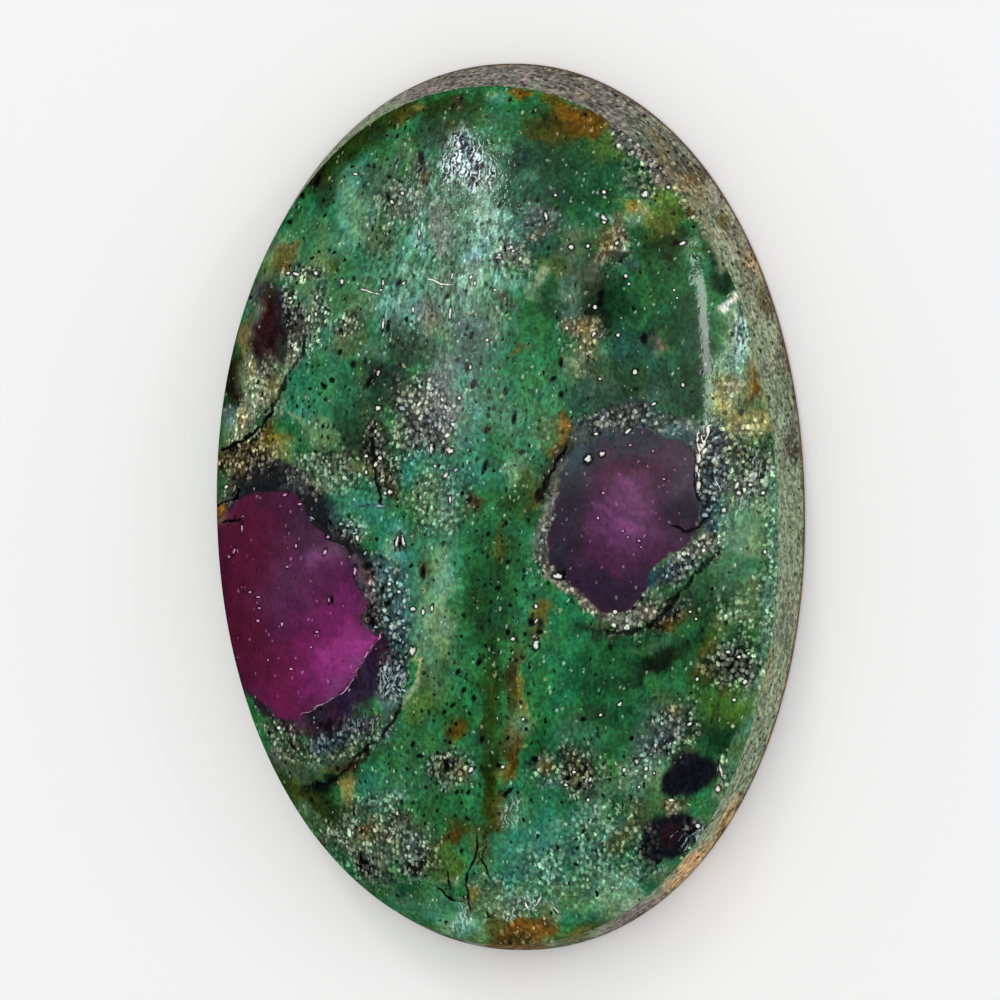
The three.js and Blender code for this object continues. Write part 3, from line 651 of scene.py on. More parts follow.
# Softer spots, painted over the bands.
HAZE = (
    (530, 420, 62, 34, 90, "jade", 0.38), (590, 378, 34, 28, 0, "sage_grey", 0.35),
    (345, 330, 44, 30, 80, "pale_sage", 0.2), (304, 262, 24, 16, 0, "pale_sage", 0.3),
    (715, 578, 34, 26, 45, "sage", 0.3), (530, 625, 34, 24, 90, "jade", 0.22),
    (528, 862, 46, 40, 0, "blue_teal", 0.45), (590, 900, 48, 26, -20, "jade", 0.5),
    (410, 578, 56, 14, 86, "blue_teal", 0.45), (348, 505, 24, 14, -45, "sea_blue", 0.45),
    (528, 150, 34, 44, 0, "bottle", 0.35), (525, 205, 32, 26, 0, "slate_deep", 0.4),
    (712, 695, 26, 34, 90, "leaf", 0.55), (530, 800, 26, 26, 90, "teal", 0.45),
    (385, 802, 26, 9, 5, "pale_teal", 0.5), (590, 170, 40, 36, 0, "dull_green", 0.25),
    (588, 362, 10, 7, 60, "brown", 0.5), (584, 345, 18, 10, 90, "straw", 0.3),
    (560, 426, 7, 5, 80, "gold", 0.9), (522, 930, 22, 10, 0, "orange", 0.6),
    (262, 333, 38, 12, 86, "dark_maroon", 0.9), (270, 372, 8, 8, 0, "dark_maroon", 0.6),
    (291, 366, 20, 5, 65, "cream", 0.6), (251, 368, 20, 4, 105, "cream", 0.6),
    (223, 504, 8, 7, 60, "gold", 0.7), (231, 487, 11, 7, 60, "grey", 0.6),
    (650, 290, 50, 40, 90, "bottle", 0.35), (592, 290, 14, 24, 0, "dark_olive", 0.4),
    (664, 198, 15, 10, -20, "lime", 0.9), (640, 212, 22, 6, -35, "straw", 0.6),
    (648, 192, 7, 6, 0, "cream", 0.6), (520, 938, 30, 12, 0, "rust", 0.8),
    (515, 930, 12, 9, 0, "orange", 0.9), (462, 918, 20, 9, 80, "pale_teal", 0.6),
    (705, 182, 12, 7, -60, "charcoal", 0.5), (495, 815, 22, 10, 88, "rust", 0.7),
    (465, 825, 20, 7, -30, "rust", 0.6), (640, 765, 22, 12, 0, "pale_teal", 0.5),
    (723, 775, 22, 4, 100, "pale_jade", 0.8), (500, 865, 30, 20, 90, "jade", 0.3),
    (318, 232, 32, 18, -20, "sage_grey", 0.4), (456, 232, 26, 15, 90, "dull_green", 0.35),
    (525, 178, 36, 30, 0, "deep_teal", 0.4), (585, 274, 22, 18, 0, "grey", 0.4),
    (254, 306, 15, 6, 100, "grey", 0.7), (335, 392, 54, 24, 0, "jade", 0.35),
    (405, 312, 36, 17, 0, "frost", 0.3), (482, 350, 32, 20, 0, "deep_teal", 0.35),
    (640, 352, 46, 24, 0, "slate_green", 0.35), (665, 392, 28, 18, 0, "slate", 0.35),
    # The pale jade spot at the start of this line is partly painted sheen on the steep right shoulder, partly
    # pale rock.
    (742, 372, 36, 15, 88, "pale_jade", 0.4), (552, 432, 16, 13, 0, "mustard", 0.7),
    (556, 444, 12, 6, 80, "orange", 0.6), (680, 430, 36, 12, 0, "slate_green", 0.6),
    (500, 470, 24, 20, 0, "blue_teal", 0.4), (358, 472, 34, 17, 0, "forest", 0.35),
    (362, 512, 32, 13, -30, "blue_teal", 0.45), (402, 550, 32, 16, 90, "blue_teal", 0.5),
    (700, 650, 36, 18, 80, "leaf_dark", 0.6), (615, 674, 30, 17, -25, "green", 0.5),
    (588, 738, 28, 17, 0, "jade", 0.4), (500, 728, 34, 10, 90, "leaf", 0.4),
    (600, 792, 38, 19, 0, "sea_dark", 0.4), (348, 788, 16, 9, 85, "straw", 0.8),
    (272, 772, 60, 10, 60, "moss_dark", 0.5), (325, 845, 60, 11, 50, "sage_grey", 0.6),
    (362, 884, 40, 9, 42, "grey_green", 0.6), (380, 832, 28, 18, 0, "forest", 0.4),
    (410, 770, 62, 34, 80, "dull_green", 0.4), (560, 850, 46, 34, 0, "blue_teal", 0.5),
    (500, 872, 22, 18, 0, "green", 0.4), (655, 870, 20, 12, 30, "sea_blue", 0.5),
    (612, 904, 26, 13, -22, "pale_jade", 0.6), (425, 905, 24, 15, 20, "sage", 0.4),
    (520, 942, 34, 9, 0, "rust", 0.9), (514, 902, 26, 13, -8, "pale_sage", 0.6),
    (544, 933, 16, 12, 20, "gold", 0.4), (486, 932, 17, 11, 75, "moss", 0.5),
    (454, 124, 22, 11, 14, "moss_dark", 0.9), (542, 126, 20, 15, -10, "dark_olive", 0.6),
    (248, 457, 17, 11, -20, "umber", 0.9), (246, 455, 15, 10, -20, "brown", 0.5),
    (750, 425, 20, 13, 10, "pale_sage", 0.6), (364, 727, 17, 10, 35, "charcoal", 0.95),
    (246, 338, 16, 8, 105, "tan", 0.5), (396, 543, 19, 11, 80, "pale_teal", 0.7),
    (573, 366, 15, 12, 20, "pale_sage", 0.75), (277, 250, 19, 12, 55, "pale_sage", 0.5),
    (396, 903, 22, 9, -32, "sage", 0.6), (366, 216, 19, 13, 60, "pale_jade", 0.5),
    (545, 428, 12, 18, 0, "sage", 0.6), (636, 903, 20, 9, 28, "pale_sage", 0.85),
    (277, 757, 17, 11, -50, "grey", 0.5), (366, 366, 15, 12, 30, "umber", 0.5),
    (573, 300, 14, 18, 0, "slate_green", 0.55), (636, 786, 17, 13, 0, "pale_teal", 0.4),
    (340, 512, 16, 9, -40, "sea_blue", 0.5), (666, 872, 15, 10, 35, "grey", 0.5),
    (541, 548, 16, 8, 82, "deep_teal", 0.6), (726, 575, 16, 13, 60, "sage", 0.5),
    (664, 605, 17, 9, 42, "charcoal", 0.55), (393, 484, 18, 10, 85, "brown", 0.75),
    (724, 664, 14, 12, 0, "charcoal", 0.7), (514, 876, 22, 13, 0, "sea_blue", 0.7),
    (519, 723, 19, 10, 75, "pale_sage", 0.55), (514, 813, 14, 17, 0, "pale_jade", 0.5),
    (698, 826, 10, 8, 50, "slate", 0.8), (656, 347, 9, 12, 0, "wall_mauve", 0.5),
    # The pale jade spot at the start of this line is painted reflection, at the top of the bright strip.
    (696, 247, 16, 8, 90, "pale_jade", 0.55), (246, 424, 16, 11, 60, "cream", 0.5),
    (753, 425, 16, 11, 10, "cream", 0.35), (757, 514, 18, 8, 88, "pale_sage", 0.55),
    (304, 728, 17, 8, -8, "rosewood", 0.5), (577, 932, 18, 7, 15, "straw", 0.5),
    (572, 246, 14, 16, 0, "grey", 0.5), (306, 813, 18, 9, -52, "sage", 0.6),
    (664, 425, 20, 8, -8, "slate_green", 0.6), (723, 547, 18, 10, 60, "pale_sage", 0.45),
    (394, 696, 14, 9, 100, "slate_deep", 0.5), (513, 426, 13, 19, 0, "pale_jade", 0.45),
    (335, 757, 18, 9, 20, "sage", 0.5), (427, 456, 18, 14, 0, "blue_teal", 0.5),
    (459, 486, 22, 15, 90, "blue_teal", 0.5), (725, 512, 20, 9, 80, "sea_blue", 0.55),
    (694, 424, 16, 8, 5, "grey", 0.55), (277, 396, 20, 10, 60, "tan", 0.5),
    (337, 246, 18, 15, 60, "sage", 0.5), (665, 217, 17, 9, -25, "lime", 0.4),
    (753, 487, 15, 12, 0, "dark_slate", 0.45), (757, 694, 34, 6, 76, "pale_sage", 0.5),
    (722, 738, 18, 9, 80, "pine", 0.4), (636, 905, 20, 9, 26, "white", 0.2),
    (366, 306, 18, 12, 80, "sage", 0.55), (577, 303, 15, 16, 0, "grey", 0.3),
    (306, 484, 18, 8, 20, "grey", 0.3), (393, 546, 18, 9, 80, "pale_teal", 0.4),
    (276, 398, 18, 9, 60, "tan", 0.4), (242, 338, 16, 7, 105, "tan", 0.3),
    (604, 152, 18, 14, 0, "moss", 0.35), (283, 320, 36, 12, 84, "charcoal", 0.55),
    (247, 316, 22, 5, 104, "grey", 0.5), (262, 447, 22, 8, 18, "mustard", 0.5),
    (516, 934, 18, 11, 0, "orange", 0.6), (394, 486, 18, 11, 85, "dark_olive", 0.6),
    (664, 426, 18, 8, -8, "grey", 0.3), (725, 513, 19, 8, 80, "pale_teal", 0.35),
    (304, 727, 19, 9, -8, "ash_plum", 0.5), (305, 276, 17, 12, 60, "pale_sage", 0.35),
    (514, 546, 17, 9, 88, "dark_olive", 0.6), (756, 426, 16, 11, 5, "straw", 0.5),
    (487, 815, 18, 9, 88, "moss_dark", 0.5), (487, 905, 15, 11, 80, "moss", 0.5),
    (233, 386, 26, 7, 100, "umber", 0.8), (231, 424, 13, 7, 95, "frost", 0.5),
    (249, 424, 14, 8, 60, "cream", 0.5), (262, 290, 20, 7, 62, "grey", 0.6),
    (285, 262, 13, 8, 15, "mustard", 0.8), (272, 277, 13, 7, 60, "tan", 0.4),
    (278, 392, 16, 8, 60, "pale_sage", 0.5), (697, 457, 18, 7, 88, "grey", 0.4),
    (515, 940, 20, 8, 0, "rust", 0.9), (652, 671, 20, 4, 16, "umber", 0.6),
    (706, 649, 12, 9, 70, "rust", 0.8), (703, 671, 11, 10, 0, "rust", 0.6),
    (702, 604, 44, 12, 62, "emerald", 0.45), (728, 630, 26, 10, 30, "moss", 0.45),
    (757, 592, 12, 8, 80, "olive", 0.5), (655, 645, 26, 6, 20, "sage", 0.4),
)

# Grains and patches with firm outlines, painted last.
CRISP_SPOTS = (
    (733, 300, 8, 3.5, 38, "white", 1.0), (723, 309, 6, 2.2, 38, "white", 0.8),
    (691, 773, 29, 21, 28, "near_black", 1.0), (675, 782, 14, 14, 0, "near_black", 1.0),
    (668, 838, 30, 22, 30, "near_black", 1.0), (658, 848, 18, 14, 40, "near_black", 1.0),
    (671, 834, 12, 9, 30, "dark_maroon", 0.5), (735, 664, 17, 14, -30, "ink", 0.8),
)

# Spots and bands of colour in the ruby, in the same way as in the rock.
RUBY_TONES = (
    (232, 590, 120, 34, 86, "wine", 0.8), (258, 600, 110, 34, 80, "wine", 0.45),
    (255, 535, 44, 30, 60, "wine", 0.6), (300, 560, 60, 26, 60, "plum", 0.8),
    (300, 522, 34, 20, -45, "dusk", 0.6), (262, 500, 10, 6, 80, "rosewood", 0.9),
    (322, 553, 16, 9, 40, "violet_core", 0.8), (345, 580, 40, 22, 95, "violet", 0.8),
    (285, 610, 50, 20, 70, "violet", 0.6), (262, 655, 50, 26, 120, "wine", 0.7),
    (300, 665, 60, 30, 50, "berry", 0.85), (335, 630, 50, 34, 70, "magenta", 0.7),
    (346, 655, 48, 24, 52, "bright_magenta", 0.75), (352, 560, 20, 9, -50, "dusk", 0.6),
    (362, 600, 20, 8, 80, "plum_grey", 0.6), (222, 516, 10, 9, 0, "tan", 0.8),
    (320, 685, 30, 14, 45, "magenta", 0.7), (285, 705, 26, 14, -30, "berry", 0.6),
    (620, 520, 90, 80, 90, "dim_violet", 1.0), (640, 470, 60, 34, 0, "ash_plum", 0.8),
    (658, 462, 24, 16, 60, "rosewood", 0.8), (622, 470, 30, 18, 30, "rosewood", 0.6),
    (615, 530, 50, 34, -40, "violet", 0.9), (632, 492, 26, 17, -40, "mauve_core", 0.95),
    (640, 526, 26, 12, -40, "heather", 0.6), (650, 520, 30, 14, -60, "heather", 0.4),
    (688, 480, 54, 24, 92, "ash", 0.95), (688, 515, 24, 18, 60, "ink_blue", 0.8),
    (566, 500, 70, 24, 82, "ink_blue", 0.95), (575, 460, 44, 22, 55, "slate_rim", 0.8),
    (628, 440, 74, 20, -2, "slate_rim", 0.95), (600, 586, 54, 22, -25, "dusk", 0.9),
    (560, 560, 28, 16, 60, "ink_blue", 0.9), (640, 585, 24, 16, 30, "dusk", 0.7),
    (618, 602, 26, 10, 0, "ink_blue", 0.7), (620, 510, 64, 60, 90, "ash", 0.24),
    (305, 555, 64, 34, 60, "mauve_grey", 0.22), (336, 548, 14, 8, -35, "mauve_grey", 0.5),
    (357, 662, 12, 9, 55, "violet_core", 0.4), (622, 528, 30, 15, -42, "violet_core", 0.45),
    (664, 458, 24, 14, 30, "ash_plum", 0.7), (576, 457, 18, 12, 55, "slate_rim", 0.6),
    (336, 692, 18, 11, 40, "violet_core", 0.35), (362, 660, 16, 8, 60, "violet_core", 0.4),
    (334, 550, 15, 9, -40, "mauve_grey", 0.4), (578, 456, 18, 11, 55, "rim_teal", 0.35),
)
RUBY_STREAKS = (
    (((596, 500), (622, 520), (644, 532)), 3, "mauve_core", 0.6),
    (((608, 492), (632, 508), (656, 516)), 3, "mauve_core", 0.5),
    (((590, 524), (612, 544), (634, 558)), 4, "heather", 0.5),
    (((586, 548), (604, 564), (622, 576)), 4, "violet", 0.5),
)

# Spots of colour on the ground side wall, in the same way.
WALL_SPOTS = (
    (470, 78, 110, 22, 5, "wall_grey", 0.9), (430, 92, 40, 12, 15, "wall_mauve", 0.6),
    (535, 74, 30, 8, -5, "wall_mauve", 0.7), (562, 72, 24, 6, -10, "brown", 0.6),
    (600, 100, 60, 30, -25, "wall_grey", 0.9), (560, 96, 24, 8, -10, "wall_mauve", 0.6),
    (650, 145, 60, 26, -42, "wall_grey", 0.9), (654, 142, 46, 14, -42, "sage_grey", 0.6),
    (665, 160, 16, 10, -50, "wall_rust", 0.4), (685, 172, 20, 10, -55, "brown", 0.6),
    (704, 178, 12, 8, -60, "charcoal", 0.6), (692, 192, 22, 14, -60, "wall_rust", 0.5),
    (715, 200, 20, 14, -60, "wall_grey", 0.8), (735, 235, 50, 20, -65, "wall_sage", 0.9),
    (722, 224, 14, 8, -70, "mustard", 0.8), (752, 262, 20, 7, -68, "wall_tan", 0.6),
    (760, 300, 30, 14, -75, "wall_sage", 0.8), (766, 298, 18, 8, -75, "mustard", 0.7),
    (772, 310, 20, 8, -75, "brown", 0.4), (778, 350, 30, 12, -80, "wall_sage", 0.7),
    (788, 395, 30, 7, -85, "wall_dark", 0.6), (790, 444, 22, 9, 90, "wall_dark", 0.8),
    (796, 452, 14, 5, 90, "brown", 0.6), (790, 520, 60, 12, 90, "wall_green", 0.6),
    (792, 600, 40, 8, 88, "wall_sage", 0.5), (788, 660, 50, 10, 82, "wall_green", 0.8),
    (778, 700, 40, 9, 75, "wall_sage", 0.6), (765, 740, 44, 12, 66, "wall_green", 0.7),
    (728, 830, 70, 15, 55, "wall_tan", 0.95), (742, 800, 30, 5, 58, "brown", 0.7),
    (722, 826, 26, 4, 50, "rust", 0.7), (775, 745, 50, 6, 66, "wall_tan", 0.6),
    (690, 875, 40, 14, 45, "wall_tan", 0.8), (640, 915, 34, 14, 30, "wall_mauve", 0.9),
    (522, 944, 38, 10, 0, "orange", 1.0), (462, 937, 34, 9, 20, "dull_green", 0.9),
    (784, 354, 24, 8, -82, "wall_dark", 0.7), (742, 240, 24, 14, -65, "wall_dark", 0.4),
    (574, 937, 24, 8, 14, "moss", 0.7), (750, 280, 20, 11, -68, "wall_dark", 0.5),
    (786, 632, 34, 9, 86, "wall_dark", 0.35), (785, 396, 24, 9, -85, "wall_green", 0.5),
)

# Open cracks, as points along each, with its half width in millimetres.
CRACKS = (
    (((722, 549), (708, 562), (694, 575), (674, 598), (656, 624), (636, 631), (605, 633)), 0.09),
    (((305, 788), (335, 780), (360, 757), (390, 725), (402, 706)), 0.06),
    (((218, 452), (240, 447), (262, 432), (270, 412), (283, 386), (300, 356), (305, 335)), 0.07),
)

# Fine lines by colour: points along each, then its half width in pixels.
SEAMS = {
    "ink": (
        (((695, 455), (696, 480), (698, 497), (701, 503)), 1.1),
        (((677, 527), (690, 531), (700, 528), (706, 518)), 1.6),
        (((226, 520), (240, 520)), 1.2),
        (((220, 505), (237, 497), (238, 488)), 1.2),
        (((566, 448), (552, 470), (540, 500)), 1.5),
        (((478, 838), (475, 856), (468, 874), (466, 892), (471, 908)), 1.0),
        (((484, 846), (482, 862), (488, 877)), 0.9),
        (((438, 888), (446, 896), (457, 900)), 1.1),
        (((448, 874), (451, 890)), 1.2),
        (((373, 440), (376, 470), (381, 503)), 2.0),
        (((269, 414), (260, 427), (244, 439), (225, 451)), 1.8),
    ),
    "frost": (
        (((674, 836), (682, 829)), 1.0),
        (((684, 846), (688, 838), (698, 833)), 0.9),
        (((360, 507), (373, 505), (384, 506)), 1.2),
        (((382, 671), (390, 684), (404, 693)), 1.3),
        (((400, 674), (391, 688), (383, 702)), 1.3),
    ),
    "cream": (
        (((612, 120), (620, 124), (628, 132)), 1.5),
    ),
    "pink_fleck": (
        (((380, 636), (372, 643), (368, 652), (361, 663), (357, 671)), 0.8),
        (((306, 712), (326, 702), (345, 690), (352, 680)), 0.6),
    ),
    "white": (
        (((556, 908), (558, 914)), 1.6),
        (((524, 900), (526, 906)), 1.6),
        (((538, 899), (534, 908)), 1.2),
        (((361, 289), (367, 290), (372, 293), (376, 294)), 1.3),
        (((431, 280), (437, 282), (441, 284), (445, 284)), 1.3),
        # This line and the next two are painted highlight: the strip's reflection broken on the right ruby's
        # edge.
        (((698, 434), (700, 447)), 1.6),
        (((708, 430), (703, 447), (698, 456), (698, 472)), 2.2),
        (((698, 470), (699, 480), (700, 492)), 1.2),
        (((715, 477), (717, 485), (722, 492)), 0.7),
        (((230, 517), (240, 516)), 1.0),
    ),
}

# Speckled ground round the ruby grains and in the pale clusters: x, y, half length, half width, turn, amount.
SPECKLED = (
    (245, 462, 44, 16, 10, 0.8), (350, 527, 24, 12, -30, 0.6), (394, 612, 60, 14, 88, 0.8),
    (340, 745, 60, 18, 15, 0.7), (285, 740, 30, 20, -50, 0.7), (316, 320, 40, 12, 80, 0.9),
    (262, 378, 20, 26, 0, 0.8), (300, 270, 24, 14, 0, 0.9), (255, 410, 50, 24, 68, 0.8),
    (425, 415, 50, 40, 90, 1.0), (400, 205, 34, 30, 90, 0.6), (515, 255, 24, 24, 0, 0.5),
    (325, 470, 50, 30, 0, 0.7), (380, 460, 50, 24, 100, 0.8), (440, 500, 40, 40, 90, 0.6),
    (715, 470, 60, 30, 90, 0.9), (745, 460, 50, 34, 80, 0.9), (696, 552, 46, 16, 42, 1.0),
    (640, 615, 50, 22, 10, 0.8), (555, 520, 70, 14, 75, 0.7), (625, 422, 70, 14, 0, 0.7),
    (735, 665, 34, 32, 0, 1.0), (668, 735, 44, 26, 45, 0.8), (578, 772, 34, 26, 110, 0.8),
    (550, 772, 24, 20, 0, 0.6), (450, 768, 28, 24, 0, 0.8), (370, 830, 60, 24, 0, 0.7),
    (418, 855, 30, 26, 90, 0.8), (370, 862, 34, 24, -40, 0.7), (605, 850, 60, 50, 60, 0.6),
    (700, 838, 14, 24, 40, 0.8), (645, 868, 22, 12, 10, 0.6), (628, 830, 16, 24, 10, 0.6),
    (540, 225, 26, 22, 0, 0.5), (645, 180, 34, 22, -40, 0.7), (728, 380, 50, 18, 85, 0.5),
    (615, 245, 30, 20, 75, 0.6), (580, 335, 30, 20, 0, 0.5), (740, 610, 34, 26, 0, 0.6),
    (470, 260, 110, 44, 88, 0.15), (400, 240, 110, 50, 85, 0.2), (440, 380, 90, 60, 90, 0.2),
    (645, 150, 70, 18, -44, 0.9), (700, 205, 50, 16, -60, 0.9), (768, 560, 140, 12, 90, 0.6),
    (600, 112, 30, 8, -25, 0.6), (462, 162, 40, 30, 100, 0.5), (380, 592, 44, 16, 86, 0.9),
    (392, 670, 30, 16, 80, 0.8), (294, 325, 46, 10, 94, 0.9), (348, 324, 18, 14, 40, 0.9),
    (548, 868, 40, 30, 0, 0.6), (500, 900, 30, 30, 0, 0.5), (530, 930, 40, 20, 0, 0.15),
    (580, 600, 40, 8, -38, 0.8), (745, 340, 50, 16, 84, 0.2), (375, 802, 36, 13, 0, 0.7),
    (585, 355, 26, 14, 90, 0.7), (250, 372, 24, 6, 105, 0.6), (530, 940, 40, 8, 0, 0.4),
    (640, 768, 26, 14, 0, 0.7), (722, 775, 26, 7, 100, 0.8), (232, 490, 20, 10, 80, 0.6),
    (530, 400, 50, 34, 90, 0.12), (520, 935, 34, 14, 0, 0.4), (345, 855, 52, 14, 50, 0.5),
    (530, 430, 60, 34, 90, 0.14), (674, 806, 16, 9, 0, 0.7),
)
# Where fine upright streaks, partly painted sheen and partly pale rock, break up the dome, in the same way.
STREAKS_AND_SHEEN = (
    (470, 240, 130, 60, 88, 1.0), (410, 250, 110, 50, 85, 0.8), (460, 360, 60, 40, 90, 0.6),
    (745, 335, 60, 18, 84, 1.2), (462, 165, 40, 26, 100, 1.5), (700, 262, 20, 12, 90, 0.5),
    (753, 388, 26, 12, 66, 0.9),
)
# Where the surface is crossed by short, wavy strokes of white and black, in the same way.
# The first four and the last are painted highlight and sheen, where the lamp, the right shoulder and the
# strip mirror.
STROKES_AND_GLINTS = (
    (467, 160, 34, 15, 104, 1.0), (446, 163, 17, 9, 88, 0.8), (489, 177, 16, 8, 96, 0.7),
    (744, 336, 30, 11, 84, 0.5), (752, 474, 34, 14, 70, 0.3), (460, 916, 20, 10, 85, 0.4),
    (695, 840, 18, 10, 45, 0.6), (392, 682, 24, 12, 100, 0.35), (368, 730, 26, 12, -30, 0.2),
    (526, 906, 22, 9, 15, 0.5), (512, 813, 14, 12, 80, 0.35), (697, 253, 13, 6, 90, 0.45),
)
# Where black specks crowd together, in the same way.
PEPPERED = (
    (470, 620, 230, 90, 90, 1.0), (520, 430, 90, 70, 90, 0.9), (400, 230, 150, 150, 60, 0.5),
    (600, 470, 60, 60, 0, 0.1), (420, 790, 120, 80, 0, 0.9), (320, 420, 80, 60, 0, 0.7),
    (560, 800, 90, 80, 0, 0.6), (380, 170, 120, 50, 45, 0.8), (640, 650, 110, 90, 0, 0.35),
    (560, 90, 150, 34, -12, 0.9), (680, 175, 80, 34, -52, 0.9), (760, 300, 90, 24, -75, 0.5),
    (780, 375, 60, 16, -82, 1.0),
)

